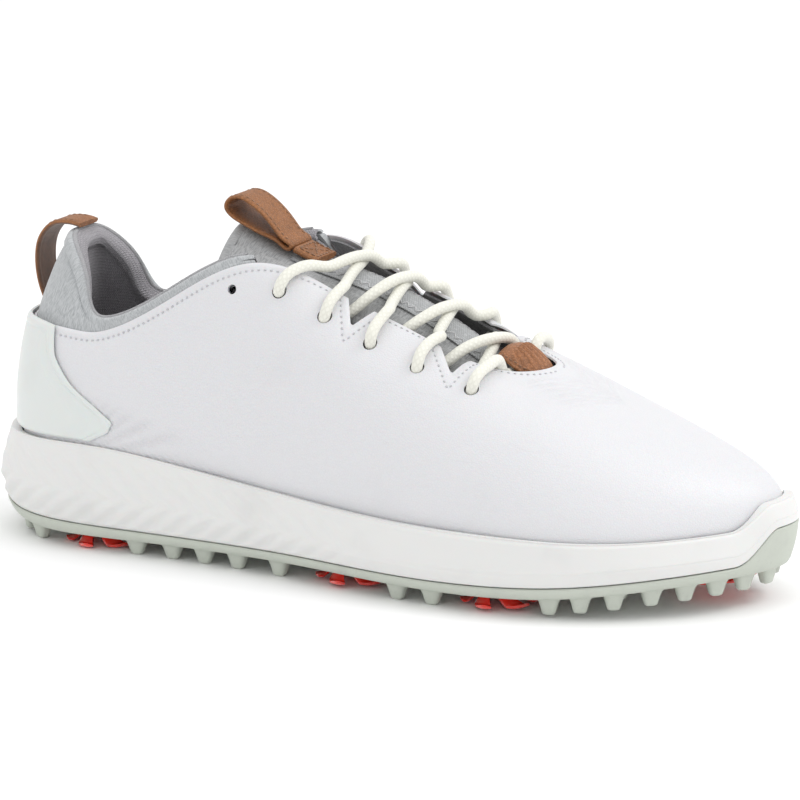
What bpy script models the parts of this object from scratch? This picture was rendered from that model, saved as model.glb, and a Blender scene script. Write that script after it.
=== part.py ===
"""Spiked golf shoe for the right foot, laced, with leather pull loops and twist-lock spikes.

Lengths below are in millimetres. They are turned into metres when a mesh is made. Stations run
round the shoe: 0 is the back of the heel, 1 to 8 the lateral side (-Y), 9 the toe tip and 10 to 17
the medial side (+Y). The foot-side surface of the upper is one family of curves, point(u, t), with t
from 0 at the sole seam to 1 at the collar and throat edge. Every layer is an offset of it.
"""
import math

import bpy
import numpy as np

SHOE_LENGTH = 304.0
SHIFT = np.array([-SHOE_LENGTH / 2, 3.2, 0.0])
GAP = 0.3
LEATHER_IN, LEATHER_OUT = 1.6, 3.0
BACKING_IN, BACKING_OUT = 0.15, 1.0
EYESTAY_IN, EYESTAY_OUT = -0.3, 0.55
CLIP_IN, CLIP_OUT = 3.5, 5.0
KNIT_THICKNESS = 1.0
FOAM_DEPTH = 4.3
BOARD_THICKNESS = 1.5
LACE_RADIUS = 1.7
EYELET_RADIUS = 2.75
SPARE_RADIUS = 1.7
SPIKE_RADIUS = 14.3
SPIKE_DEPTH = 5.25
RECEPTACLE_RADIUS = 9.9
RECEPTACLE_HEIGHT = 5.6
STEM_RADIUS = 5.2
TAB_RADIUS = 7.4
LUG_DEPTH = 6.2
RUBBER_FLOOR = 3.7
RUBBER_WALL = 2.2

# Rows: x, y of the lateral side, y of the medial side, z. The first and last row are the heel and toe.
SOLE_SEAM = [(14, 0, 0, 27), (20, -19, 20, 27), (36, -28.5, 29, 26), (62, -30.5, 30, 24),
             (98, -32, 27, 21.5), (138, -37, 27, 18.5), (180, -45, 34, 16), (222, -47.5, 39.5, 16),
             (262, -34, 32.5, 18.5), (293, 6, 6, 23)]
LOWER_GUIDE = [(11, 0, 0, 58), (16, -23, 24, 56), (32, -35, 35, 52), (62, -37, 35, 48),
               (98, -38.5, 32, 46), (138, -43.5, 33, 43), (180, -53, 42, 40), (226, -56.5, 49, 38),
               (275, -42, 40, 40), (309, 8, 8, 47)]
UPPER_GUIDE = [(19, 0, 0, 88), (22, -17, 18, 86), (33, -28, 28, 80), (55, -33, 32, 72),
               (90, -34.5, 32, 80), (126, -36.5, 34, 92), (158, -36, 34, 85), (190, -35, 36, 74),
               (230, -24, 29, 65), (258, 3, 3, 51)]
TOP_EDGE = [(29, 0, 0, 109), (32.5, -13, 12, 107), (42, -21.5, 21, 95), (51, -26.5, 26, 82.5),
            (78, -29.5, 29, 93), (112, -27, 27, 110), (142, -22.5, 22.5, 99),
            (168, -21.5, 21.5, 88.5), (197, -18.5, 19.5, 76), (215, 0.5, 0.5, 74)]
TREAD_EDGE = [(7, 0, 0, 9.5), (13, -21, 22, 7.4), (32, -34.5, 35, 5.6), (62, -37.5, 36, 5.5),
              (98, -39, 33, 5.9), (138, -44, 34, 6.2), (180, -52, 41, 6.0), (222, -53, 47, 6.4),
              (264, -40, 40, 10.2), (301, 6, 6, 13.6)]
RUBBER_RIM = [(3, 0, 0, 13.5), (10, -22, 23, 11.8), (31, -36.5, 37, 10.3), (62, -39.3, 38, 9.6),
              (98, -41, 35, 9.6), (138, -46, 36, 9.8), (180, -54.2, 43, 9.8), (223, -55, 49, 10.6),
              (267, -41, 41, 14.5), (304, 6, 6, 18)]
FOAM_WIDEST = [(0, 0, 0, 23), (8, -23, 24, 22), (30, -38, 38.5, 20), (62, -40.5, 39.5, 18),
               (98, -42, 36, 17), (138, -47, 37, 15.5), (180, -55.5, 44, 14.5), (224, -56, 50.5, 15),
               (268, -41.5, 41.5, 19), (303.5, 6, 6, 21)]
FOAM_RIM = [(5, 0, 0, 38.5), (12, -22, 23, 38.5), (33, -35.5, 36, 39), (62, -38, 37, 38.5),
            (98, -40, 34, 34.5), (138, -45, 35.5, 30.5), (180, -54, 43, 28.5), (224, -55, 49.5, 28),
            (266, -41, 41, 28), (301.5, 6, 6, 29.5)]
NOTCHES = [[(6.06, 0.83), (6.27, 1.07), (6.8, 1.07)], [(7.24, 0.80), (7.62, 1.07), (8.09, 1.07)]]
# Values at stations 0 to 9, the same on both sides.
LEATHER_TOP = [0.60, 0.62, 0.71, 0.885, 0.958, 0.968, 1.0, 1.0, 1.0, 1.0]
LINING_TOP = [0.72, 0.72, 0.72, 0.72, 0.72, 0.72, 0.70, 0.64, 0.72, 0.82]
# The tongue. Its hinge line is where it is sewn in. Rows of its side: station, half width and z.
# Rows of its crest: station, x and z.
TONGUE_HINGE = (222.0, 0.5, 62.0)
TONGUE_SIDE = [(4.5, 20.0, 101), (5.0, 19.4, 103), (5.5, 20.3, 101), (6.0, 20.4, 94.2), (6.5, 19, 88.4),
               (7.0, 19.2, 82.9), (7.5, 19.8, 76.3), (8.0, 17.6, 69.8), (8.4, 11.5, 65.2)]
TONGUE_CREST = [(8.4, 208, 68.0), (8.0, 199, 73.5), (7.5, 184, 83.0), (7.0, 170, 91), (6.5, 157, 96.8),
                (6.0, 143, 101.3), (5.5, 128.8, 104), (5.25, 121, 106.8), (5.0, 113, 110.5), (4.5, 98, 118)]
EYELETS = [(5.24, 0.853), (5.73, 0.818), (6.28, 0.797), (6.83, 0.775), (7.36, 0.752)]
SPARE_EYELET = (4.74, 0.868)
SPIKES = [("heel_lateral", 50, -21.5), ("heel_medial", 52, 21), ("waist_lateral", 155, -31),
          ("waist_medial", 160, 20), ("ball_lateral", 213, -37), ("ball_medial", 217, 31),
          ("toe", 276, 5)]
LUGS_LATERAL = [0.0, 0.55, 1.12, 1.7, 3.21, 3.62, 3.97, 4.32, 4.75, 5.95, 6.28, 7.35, 7.62, 7.87,
                8.1, 8.29, 8.47, 8.65, 8.87]
LUGS_MEDIAL = [0.55, 1.12, 1.7, 3.21, 3.62, 4.05, 4.6, 5.1, 6.1, 6.42, 7.5, 7.8, 8.06, 8.28, 8.5, 8.71]
LUGS_INNER = [(27, -9), (27, 10), (72, -10), (72, 11), (90, -15), (90, 14), (112, -18), (112, 12),
              (132, -6), (178, -12), (186, 4), (198, -10), (236, -14), (240, 8), (252, -24),
              (252, 24), (186, -34)]


def ring(rows):
    """The 18 points of a closed curve round the shoe, from its rows."""
    points = [(rows[0][0], rows[0][1], rows[0][3])]
    points += [(x, lateral, z) for x, lateral, medial, z in rows[1:9]]
    points += [(rows[9][0], rows[9][1], rows[9][3])]
    points += [(x, medial, z) for x, lateral, medial, z in rows[8:0:-1]]
    return np.array(points, float)


class Periodic:
    """A smooth closed curve, or number, through values at stations 0, 1, 2 and so on."""

    def __init__(self, values):
        self.values = np.asarray(values, float)
        count = len(self.values)
        matrix = 4 * np.eye(count) + np.roll(np.eye(count), 1, 1) + np.roll(np.eye(count), -1, 1)
        bend = np.roll(self.values, -1, 0) - 2 * self.values + np.roll(self.values, 1, 0)
        self.second = np.linalg.solve(matrix, 6 * bend)

    def __call__(self, u):
        u = np.asarray(u, float) % len(self.values)
        low = np.floor(u).astype(int) % len(self.values)
        high = (low + 1) % len(self.values)
        f = u - np.floor(u)
        if self.values.ndim > 1:
            f = f[..., None]
        a = 1 - f
        line = a * self.values[low] + f * self.values[high]
        return line + ((a**3 - a) * self.second[low] + (f**3 - f) * self.second[high]) / 6


def both_sides(values):
    return Periodic(list(values) + list(values[8:0:-1]))


GUIDES = [Periodic(ring(rows)) for rows in (SOLE_SEAM, LOWER_GUIDE, UPPER_GUIDE, TOP_EDGE)]
TREAD, RIM, WIDEST, LIP = [Periodic(ring(r)) for r in (TREAD_EDGE, RUBBER_RIM, FOAM_WIDEST, FOAM_RIM)]
LEATHER_EDGE = both_sides(LEATHER_TOP)
LINING_EDGE = both_sides(LINING_TOP)


def smooth(x):
    x = np.clip(x, 0, 1)
    return x * x * (3 - 2 * x)


def side(u):
    """How far round from the heel, 0 to 9, on either side."""
    u = np.asarray(u, float) % 18
    return np.minimum(u, 18 - u)


def toe_lift(u):
    """0 along the sides, 1 across the toe bumper."""
    return smooth((side(u) - 8.5) / 0.3)


def rim_line(u):
    return RIM(u) + toe_lift(u)[..., None] * np.array([0, 0, 10.5])


def lip_line(u):
    return LIP(u) + toe_lift(u)[..., None] * np.array([0, 0, 7.5])


def widest_line(u):
    return WIDEST(u) + toe_lift(u)[..., None] * np.array([0, 0, 10.0])


def lining_edge(u):
    """The lining reaches the rim in the collar and stops below the eyelets further forward."""
    return LINING_EDGE(u) + (1 - LINING_EDGE(u)) * smooth((5.2 - side(u)) / 0.25)


def point(u, t):
    u, t = np.broadcast_arrays(np.asarray(u, float), np.asarray(t, float))
    a = (1 - t)[..., None]
    b = t[..., None]
    c = [guide(u) for guide in GUIDES]
    return a**3 * c[0] + 3 * a * a * b * c[1] + 3 * a * b * b * c[2] + b**3 * c[3]


def tangent_up(u, t, step=1e-3):
    d = point(u, np.asarray(t, float) + step) - point(u, np.asarray(t, float) - step)
    return d / np.linalg.norm(d, axis=-1, keepdims=True)


def normal(u, t, step=1e-3):
    """Outward normal of the upper's surface."""
    along = point(np.asarray(u, float) + step, t) - point(np.asarray(u, float) - step, t)
    n = np.cross(along, tangent_up(u, t))
    return n / np.linalg.norm(n, axis=-1, keepdims=True)


def shell(u, t, offset):
    u, t, offset = np.broadcast_arrays(*[np.asarray(v, float) for v in (u, t, offset)])
    return point(u, t) + normal(u, t) * offset[..., None]


def padding(u, t):
    """How much foam lies behind the collar: 0 in the vamp, 1 in the collar, more at the heel bulge."""
    s = side(u)
    base = smooth((5.35 - s) / 0.9) * smooth((np.asarray(t, float) - 0.3) / 0.2)
    bulge = 0.5 * np.exp(-((s / 1.3) ** 2)) * np.exp(-(((t - 0.74) / 0.16) ** 2))
    return base * (1 + bulge)


# ---------------------------------------------------------------- meshes


def clear_scene():
    for obj in list(bpy.data.objects):
        bpy.data.objects.remove(obj, do_unlink=True)


MATERIALS = {}


def material(name, color, rough, metal=0.0, clear=0.0):
    made = bpy.data.materials.new(name)
    made.use_nodes = True
    shader = made.node_tree.nodes["Principled BSDF"]
    shader.inputs["Base Color"].default_value = (*color, 1)
    shader.inputs["Roughness"].default_value = rough
    shader.inputs["Metallic"].default_value = metal
    shader.inputs["Transmission Weight"].default_value = clear
    MATERIALS[name] = made


def solid(name, points, faces, look=None, origin=(0, 0, 0), helper=False):
    """One mesh object from points in mm and faces, turned so that its faces look outward."""
    place = (np.array(origin, float) + SHIFT) / 1000 if look or helper else np.zeros(3)
    world = (np.asarray(points, float) + SHIFT) / 1000
    volume = 0.0
    for face in faces:
        for k in range(1, len(face) - 1):
            volume += np.dot(world[face[0]], np.cross(world[face[k]], world[face[k + 1]]))
    if volume < 0:
        faces = [tuple(reversed(face)) for face in faces]
    mesh = bpy.data.meshes.new(name)
    mesh.from_pydata([tuple(p) for p in world - place], [], [tuple(f) for f in faces])
    mesh.update()
    obj = bpy.data.objects.new(name, mesh)
    obj.location = place
    bpy.context.scene.collection.objects.link(obj)
    if helper:
        obj.hide_render = True
        obj.display_type = "WIRE"
    else:
        mesh.materials.append(MATERIALS[look])
    return obj


def slab(name, outer, inner, look, closed_u, origin=(0, 0, 0)):
    """A sheet with thickness, from two grids of points with the same shape."""
    outer = np.asarray(outer)
    rows, cols = outer.shape[:2]
    points = np.concatenate([outer.reshape(-1, 3), np.asarray(inner).reshape(-1, 3)])
    back = rows * cols
    faces = []
    last = rows if closed_u else rows - 1
    for i in range(last):
        k = (i + 1) % rows
        for j in range(cols - 1):
            a, b, c, d = i * cols + j, i * cols + j + 1, k * cols + j + 1, k * cols + j
            faces.append((a, b, c, d))
            faces.append((back + a, back + d, back + c, back + b))
        for j, flip in ((0, False), (cols - 1, True)):
            a, b = i * cols + j, k * cols + j
            wall = (a, b, back + b, back + a)
            faces.append(tuple(reversed(wall)) if flip else wall)
    if not closed_u:
        for i, flip in ((0, True), (rows - 1, False)):
            for j in range(cols - 1):
                a, b = i * cols + j, i * cols + j + 1
                wall = (a, b, back + b, back + a)
                faces.append(tuple(reversed(wall)) if flip else wall)
    return solid(name, points, faces, look, origin)


def filled_rings(name, rings, look, inner=4):
    """Rings of points stacked into a closed body, with the first and last ring filled across."""
    count = len(rings[0])
    points = [p for one in rings for p in one]
    faces = []
    for r in range(len(rings) - 1):
        for i in range(count):
            k = (i + 1) % count
            faces.append((r * count + i, r * count + k, (r + 1) * count + k, (r + 1) * count + i))
    for first, flip in ((0, False), ((len(rings) - 1) * count, True)):
        rows = []
        for i in range(1, count // 2):
            a, b = first + i, first + count - i
            row = [a]
            for w in range(1, inner + 1):
                f = w / (inner + 1)
                row.append(len(points))
                points.append(points[a] * (1 - f) + points[b] * f)
            rows.append(row + [b])
        made = []
        for low, high in zip(rows, rows[1:]):
            for w in range(inner + 1):
                made.append((low[w], low[w + 1], high[w + 1], high[w]))
        for w in range(inner + 1):
            made.append((first, rows[0][w + 1], rows[0][w]))
            made.append((first + count // 2, rows[-1][w], rows[-1][w + 1]))
        faces += [tuple(reversed(f)) for f in made] if flip else made
    return solid(name, points, faces, look)


def inset(points, distance):
    """A closed ring moved inward in plan."""
    along = np.roll(points, -1, 0) - np.roll(points, 1, 0)
    across = np.stack([-along[:, 1], along[:, 0], np.zeros(len(points))], 1)
    across /= np.linalg.norm(across, axis=1, keepdims=True)
    middle = points.mean(0)
    inward = np.sign(np.sum(across * (middle - points), 1).sum())
    return points + across * inward * distance


def at_height(points, z):
    moved = np.array(points)
    moved[:, 2] = z
    return moved


def frames(path):
    """Two directions across a path at each of its points, carried along without twist."""
    path = np.asarray(path, float)
    along = np.gradient(path, axis=0)
    along /= np.linalg.norm(along, axis=1, keepdims=True)
    start = np.cross(along[0], (0.3, 0.9, 0.31))
    first = [start / np.linalg.norm(start)]
    for a in along[1:]:
        v = first[-1] - a * np.dot(first[-1], a)
        first.append(v / np.linalg.norm(v))
    first = np.array(first)
    return first, np.cross(along, first)


def tube_points(path, radii, sides):
    a, b = frames(path)
    angle = np.arange(sides) * 2 * math.pi / sides
    ringed = a[:, None] * np.cos(angle)[:, None] + b[:, None] * np.sin(angle)[:, None]
    return np.asarray(path)[:, None] + ringed * np.asarray(radii, float)[:, None, None]


def rod(name, path, radii, sides, look):
    """A round rod along a path, closed at both ends."""
    grid = tube_points(path, radii, sides)
    count = len(path)
    faces = [tuple(range(sides)), tuple(reversed(range((count - 1) * sides, count * sides)))]
    for r in range(count - 1):
        for i in range(sides):
            k = (i + 1) % sides
            faces.append((r * sides + k, r * sides + i, (r + 1) * sides + i, (r + 1) * sides + k))
    return solid(name, grid.reshape(-1, 3), faces, look)


def sleeve(name, path, inner, outer, sides, look):
    """A tube with a wall, along a path."""
    wide = tube_points(path, [outer] * len(path), sides)
    thin = tube_points(path, [inner] * len(path), sides)
    return slab(name, wide.transpose(1, 0, 2), thin.transpose(1, 0, 2), look, True)


def strap(name, outer, inner, width, look, closed=False, origin=(0, 0, 0)):
    """A strap across Y, from the two edges of its section in X and Z."""
    half = np.full(len(outer), width / 2)
    sections = []
    for edge in (outer, inner):
        edge = np.asarray(edge, float)
        left = np.stack([edge[:, 0], -half, edge[:, 1]], 1)
        right = np.stack([edge[:, 0], half, edge[:, 1]], 1)
        sections.append(np.stack([left, right], 1))
    return slab(name, sections[0], sections[1], look, closed, origin)


def resample(path, step):
    """The path with points about one step apart."""
    path = np.asarray(path, float)
    length = np.concatenate([[0], np.cumsum(np.linalg.norm(np.diff(path, axis=0), axis=1))])
    count = max(2, int(round(length[-1] / step)) + 1)
    places = np.linspace(0, length[-1], count)
    return np.stack([np.interp(places, length, path[:, k]) for k in range(3)], 1)


def rounded(path, rounds=2):
    """Chaikin corner cutting, with the two ends kept."""
    path = np.asarray(path, float)
    for _ in range(rounds):
        q = path[:-1] * 0.75 + path[1:] * 0.25
        r = path[:-1] * 0.25 + path[1:] * 0.75
        path = np.concatenate([path[:1], np.stack([q, r], 1).reshape(-1, 3), path[-1:]])
    return path


def subtract(target, cutter, name):
    cut = target.modifiers.new(name, "BOOLEAN")
    cut.operation = "DIFFERENCE"
    cut.solver = "EXACT"
    cut.object = cutter


def many(pieces):
    """Points and faces of several closed bodies as one list."""
    points = []
    faces = []
    for body_points, body_faces in pieces:
        start = len(points)
        points += [tuple(p) for p in body_points]
        faces += [tuple(start + i for i in face) for face in body_faces]
    return np.array(points, float), faces


def prism(bottom, top):
    """A body between two outlines with the same number of points."""
    n = len(bottom)
    points = list(bottom) + list(top)
    faces = [tuple(reversed(range(n))), tuple(range(n, 2 * n))]
    faces += [(i, (i + 1) % n, n + (i + 1) % n, n + i) for i in range(n)]
    axis = np.subtract(np.mean(top, 0), np.mean(bottom, 0))
    flat = np.cross(np.subtract(bottom[1], bottom[0]), np.subtract(bottom[2], bottom[1]))
    if np.dot(flat, axis) < 0:
        faces = [tuple(reversed(face)) for face in faces]
    return np.array(points, float), faces


# ---------------------------------------------------------------- the upper

HALF_ROUND = [0, 0.5, 1, 1.33, 1.67, 2, 2.33, 2.67, 3, 3.33, 3.67, 4, 4.33, 4.67, 5, 5.25, 5.5, 5.75, 6,
              6.5, 7, 7.33, 7.67, 8, 8.17, 8.33, 8.5, 8.67, 8.83, 9]
ROUND = np.array(HALF_ROUND + [18 - u for u in HALF_ROUND[-2:0:-1]], float)
HEIGHTS = [0.0, 0.1, 0.2, 0.32, 0.45, 0.6, 0.78, 1.0]


def stations_within(reach, centre=0.0):
    """The shared stations up to a reach either side of the heel or the toe, and the two ends."""
    if centre == 0.0:
        kept = [u for u in HALF_ROUND if u < reach - 0.1]
        return np.array([-reach] + [-u for u in kept[:0:-1]] + kept + [reach], float)
    kept = [u for u in HALF_ROUND if u > reach + 0.05]
    return np.array([reach] + kept + [18 - u for u in kept[-2::-1]] + [18 - reach], float)


def heights_within(low, high):
    """Columns of heights: the shared ones, squeezed between a lower and an upper edge."""
    kept = [t for t in HEIGHTS if np.min(low) + 0.02 < t < np.max(high) - 0.02]
    count = len(kept) + 2
    columns = [np.asarray(low, float)]
    for j, t in enumerate(kept):
        columns.append(np.clip(t, low + (j + 1) * 0.015, high - (count - 2 - j) * 0.015))
    return np.stack(columns + [np.asarray(high, float)], 1)


def layer(name, u, t_low, t_high, inner, outer, look, closed=False):
    """One layer of the upper between two heights and two offsets."""
    u = np.asarray(u, float)
    grid_t = heights_within(np.zeros(len(u)) + t_low, np.zeros(len(u)) + t_high)
    grid_u = np.repeat(u[:, None], grid_t.shape[1], 1)
    high = outer(grid_u, grid_t) if callable(outer) else np.full(grid_u.shape, outer)
    low = inner(grid_u, grid_t) if callable(inner) else np.full(grid_u.shape, inner)
    return slab(name, shell(grid_u, grid_t, high), shell(grid_u, grid_t, low), look, closed)


def eyelet_cutter(name, include_notches):
    pieces = []
    for mirror in (False, True):
        for u, t in EYELETS + [SPARE_EYELET]:
            spare = (18 - SPARE_EYELET[0] if mirror else SPARE_EYELET[0], SPARE_EYELET[1])
            u = 18 - u if mirror else u
            middle = point(u, t)
            n = normal(u, t)
            path = [middle - 2 * n, middle + 6 * n]
            radius = SPARE_RADIUS if (u, t) == spare else EYELET_RADIUS
            grid = tube_points(path, [radius] * 2, 10)
            pieces.append(prism(grid[0], grid[1]))
        if not include_notches:
            continue
        for notch in NOTCHES:
            turned_u = [(18 - u if mirror else u, t) for u, t in notch]
            n = normal(*turned_u[0])
            corners = [point(u, t) for u, t in turned_u]
            pieces.append(prism([c - 1 * n for c in corners], [c + 6 * n for c in corners]))
    points, faces = many(pieces)
    return solid(name, points, faces, helper=True)


def build_upper():
    leather = layer("upper_leather", ROUND, 0.0, LEATHER_EDGE(ROUND), LEATHER_IN, LEATHER_OUT,
                    "leather_white", True)
    cutter = eyelet_cutter("cut_eyelets_and_notches", True)
    subtract(leather, cutter, "eyelets")
    for name, mirror in (("eyestay_backing_lateral", False), ("eyestay_backing_medial", True)):
        u = np.array([5.1, 5.25, 5.5, 5.75, 6, 6.5, 7, 7.33, 7.67, 8, 8.17])
        low = np.interp(u, [4.3, 4.9, 5.7, 7.4, 8.3], [0.80, 0.79, 0.75, 0.70, 0.82])
        high = LEATHER_EDGE(u) - 0.015
        backing = layer(name, 18 - u if mirror else u, low, high, EYESTAY_IN, EYESTAY_OUT,
                        "backing_grey")
        subtract(backing, cutter, "eyelets")
    u = stations_within(3.5)
    layer("heel_stiffener", u, 0.05, 0.5 + 0.04 * np.cos(u * 0.8), BACKING_IN, BACKING_OUT,
          "stiffener_board")
    u = stations_within(7.8, 9.0)
    layer("toe_puff", u, 0.1, 0.45 - 0.08 * np.abs(u - 9), BACKING_IN, BACKING_OUT, "stiffener_board")
    layer("lining", ROUND, 0.015, lining_edge(ROUND) - 0.004,
          lambda a, b: -FOAM_DEPTH * padding(a, b) - KNIT_THICKNESS - 0.15,
          lambda a, b: -FOAM_DEPTH * padding(a, b) - 0.15, "lining_knit", True)
    layer("collar_foam", stations_within(4.6), 0.46, 0.985,
          lambda a, b: -FOAM_DEPTH * padding(a, b) + GAP, -KNIT_THICKNESS - GAP, "foam_grey")
    u = stations_within(5.05)
    layer("collar_knit", u, LEATHER_EDGE(u) - 0.08, 0.995, -KNIT_THICKNESS, 0.0, "collar_knit")
    build_binding()
    build_clip()


def build_binding():
    """The rolled edge over the collar's rim."""
    u = stations_within(5.06)
    rows = len(u)
    depth = (FOAM_DEPTH * padding(u, np.full(rows, 0.95)) + KNIT_THICKNESS + 0.5) / 2
    ends = smooth((5.15 - np.abs(u)) / 0.5)
    half = np.maximum(depth, 1.3)
    n = normal(u, np.full(rows, 0.999))
    up = tangent_up(u, np.full(rows, 0.999))
    rim = point(u, np.ones(rows))
    outer = []
    inner = []
    angles = np.linspace(0, math.pi, 5)
    for grow, kept in ((1.3, outer), (0.3, inner)):
        kept.append(rim + n * grow - up * (2.2 * ends[:, None]))
        for a in angles:
            across = (half + grow) * np.cos(a) - half
            rise = (1.2 + grow * 0.7) * math.sin(a)
            kept.append(rim + n * across[:, None] + up * rise)
        kept.append(rim + n * (-2 * half - grow)[:, None] - up * (2.2 * ends[:, None]))
    slab("collar_binding", np.stack(outer, 1), np.stack(inner, 1), "binding_grey", False)


def lip_height(u):
    """Height up the upper at which the midsole's lip stands."""
    low = np.zeros(len(u))
    high = np.full(len(u), 0.6)
    target = lip_line(u)[:, 2]
    for _ in range(30):
        middle = (low + high) / 2
        z = shell(u, middle, LEATHER_OUT)[:, 2]
        low = np.where(z < target, middle, low)
        high = np.where(z < target, high, middle)
    return (low + high) / 2


def build_clip():
    """The moulded clip that wraps the heel above the midsole."""
    v = np.linspace(0, 1, 7)
    reach = np.interp(v, [0, 0.12, 0.25, 0.4, 0.55, 0.75, 1.0], [2.72, 2.98, 3.07, 2.84, 2.5, 2.15, 2.0])
    w = np.linspace(-1, 1, 17)
    outer = []
    inner = []
    for share in w:
        u = share * reach
        start = lip_height(u) + 0.03
        end = 0.60 + 0.11 * share * share
        t = start * (1 - v) + end * v
        thin = np.clip((1 - abs(share)) * 6, 0.55, 1)
        outer.append(shell(u, t, CLIP_IN + (CLIP_OUT - CLIP_IN) * thin))
        inner.append(shell(u, t, CLIP_IN))
    slab("heel_clip", outer, inner, "clip_white", False)


# ---------------------------------------------------------------- the sole


def tread_height(x, y):
    """Height of the tread's flat bottom under a point."""
    u = np.linspace(0.01, 8.99, 400)
    lateral = TREAD(u)
    medial = TREAD(18 - u)
    k = np.argmin(np.abs((lateral[:, 0] + medial[:, 0]) / 2 - x))
    f = (y - lateral[k, 1]) / (medial[k, 1] - lateral[k, 1])
    f = min(max(f, 0), 1)
    return lateral[k, 2] * (1 - f) + medial[k, 2] * f


def build_sole():
    around = ROUND
    tread, rim = TREAD(around), rim_line(around)
    floor = inset(tread, 3.0)
    outsole = filled_rings("outsole", [
        at_height(floor, tread[:, 2] + RUBBER_FLOOR), inset(rim, RUBBER_WALL), rim, tread,
    ], "rubber_grey", 4)
    points, faces = many(lug_bodies())
    lugs = solid("add_lugs", points, faces, helper=True)
    join = outsole.modifiers.new("lugs", "BOOLEAN")
    join.operation = "UNION"
    join.solver = "EXACT"
    join.object = lugs
    pockets = pocket_cutter()
    subtract(outsole, pockets, "spike_pockets")
    widest, lip = widest_line(around), lip_line(around)
    lift = np.array([0, 0, GAP])
    seam = seam_height(around)
    cup = shell(around, np.zeros(len(ROUND)), LEATHER_OUT + GAP + 0.15)
    top_inner = shell(around, lip_height(around), LEATHER_OUT + GAP + 0.15)
    half_way = shell(around, lip_height(around) * 0.5, LEATHER_OUT + GAP + 0.2)
    midsole = filled_rings("midsole", [
        at_height(inset(tread, 7.2), tread[:, 2] + RUBBER_FLOOR + GAP),
        inset(rim, RUBBER_WALL + 4.4) + lift * 3.0,
        rim + lift,
        widest,
        widest * 0.45 + lip * 0.55,
        lip,
        at_height(top_inner, lip[:, 2]),
        half_way,
        at_height(cup, seam - 2.3),
    ], "midsole_foam", 4)
    subtract(midsole, pockets, "spike_pockets")
    shank_outline = [(76, -19), (76, 19), (92, 21), (128, 17), (136, 12), (136, -16), (128, -24),
                     (92, -22)]
    base = 10.05
    grown = [(x + math.copysign(0.5, x - 106), y + math.copysign(0.5, y)) for x, y in shank_outline]
    recess, recess_faces = prism([(x, y, base - 2.5) for x, y in grown],
                                 [(x, y, base + 2.4) for x, y in grown])
    cutter = solid("cut_shank_recess", recess, recess_faces, helper=True)
    subtract(midsole, cutter, "shank_recess")
    plate, plate_faces = prism([(x, y, base + 0.3) for x, y in shank_outline],
                               [(x, y, base + 2.1) for x, y in shank_outline])
    solid("shank_plate", plate, plate_faces, "shank_black")
    board = shell(around, np.zeros(len(around)), 0.9)
    filled_rings("strobel_board", [
        at_height(board, seam - 0.4 - BOARD_THICKNESS), at_height(board, seam - 0.4),
    ], "board_white", 3)
    low = shell(around, np.full(len(around), 0.02), -2.2)
    high = shell(around, np.full(len(around), 0.07), -2.0)
    filled_rings("insole", [at_height(low, seam), high], "insole_grey", 3)


def seam_height(u):
    return GUIDES[0](u)[:, 2]


def lug_bodies():
    bodies = []
    spots = []
    for sign, stations in ((1, LUGS_LATERAL), (-1, LUGS_MEDIAL)):
        for u in stations:
            here, ahead = TREAD(np.array([u * sign, (u + 0.02) * sign]))
            along = (ahead - here)[:2]
            along /= np.linalg.norm(along)
            across = np.array([-along[1], along[0]])
            if np.dot(across, np.array([150.0, 0.0]) - here[:2]) < 0:
                across = -across
            spots.append((here[:2] + across * 4.6, along, here[2], 3.6, 2.7))
    for x, y in LUGS_INNER:
        spots.append((np.array([x, y], float), np.array([0.8, 0.6]), tread_height(x, y), 2.9, 2.9))
    for middle, along, base, half_long, half_wide in spots:
        across = np.array([-along[1], along[0]])
        tip = max(0.0, base - LUG_DEPTH)
        bottom = []
        top = []
        for a, b in ((-1, -1), (1, -1), (1, 1), (-1, 1)):
            foot = middle + along * a * half_long + across * b * half_wide
            point_tip = middle + along * a * half_long * 0.52 + across * b * half_wide * 0.6
            top.append((*foot, base + 1.2))
            bottom.append((*point_tip, tip))
        bodies.append(prism(bottom, top))
    return bodies


def spike_place(x, y):
    """Middle of a spike's seat on the tread, and its three directions."""
    slope = (tread_height(x + 8, y) - tread_height(x - 8, y)) / 16
    ahead = np.array([1, 0, slope]) / math.hypot(1, slope)
    aside = np.array([0.0, 1.0, 0.0])
    return np.array([x, y, tread_height(x, y)]), ahead, aside, np.cross(ahead, aside)


def turned(rings, place):
    """Points given as angle, radius and height, placed at a spike's seat."""
    middle, ahead, aside, up = place
    out = []
    for angle, radius, height in rings:
        flat = ahead * math.cos(angle) * radius + aside * math.sin(angle) * radius
        out.append(middle + flat + up * height)
    return out


def turned_points(profile, steps, place):
    """Points and faces round a seat's axis. profile(angle) gives (radius, height), axis to axis."""
    count = len(profile(0.0))
    points = [turned([(0, 0, profile(0.0)[0][1])], place)[0]]
    for j in range(1, count - 1):
        for i in range(steps):
            angle = 2 * math.pi * i / steps
            points += turned([(angle + twist(profile(angle)[j]), *profile(angle)[j][:2])], place)
    points.append(turned([(0, 0, profile(0.0)[-1][1])], place)[0])
    faces = []
    for i in range(steps):
        k = (i + 1) % steps
        faces.append((0, 1 + k, 1 + i))
        for j in range(count - 3):
            a, b = 1 + j * steps, 1 + (j + 1) * steps
            faces.append((a + i, a + k, b + k, b + i))
        a = 1 + (count - 3) * steps
        faces.append((a + i, a + k, len(points) - 1))
    return points, faces


def twist(entry):
    """How far a profile's point is turned ahead of its own angle."""
    return entry[2] if len(entry) > 2 else 0.0


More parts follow.
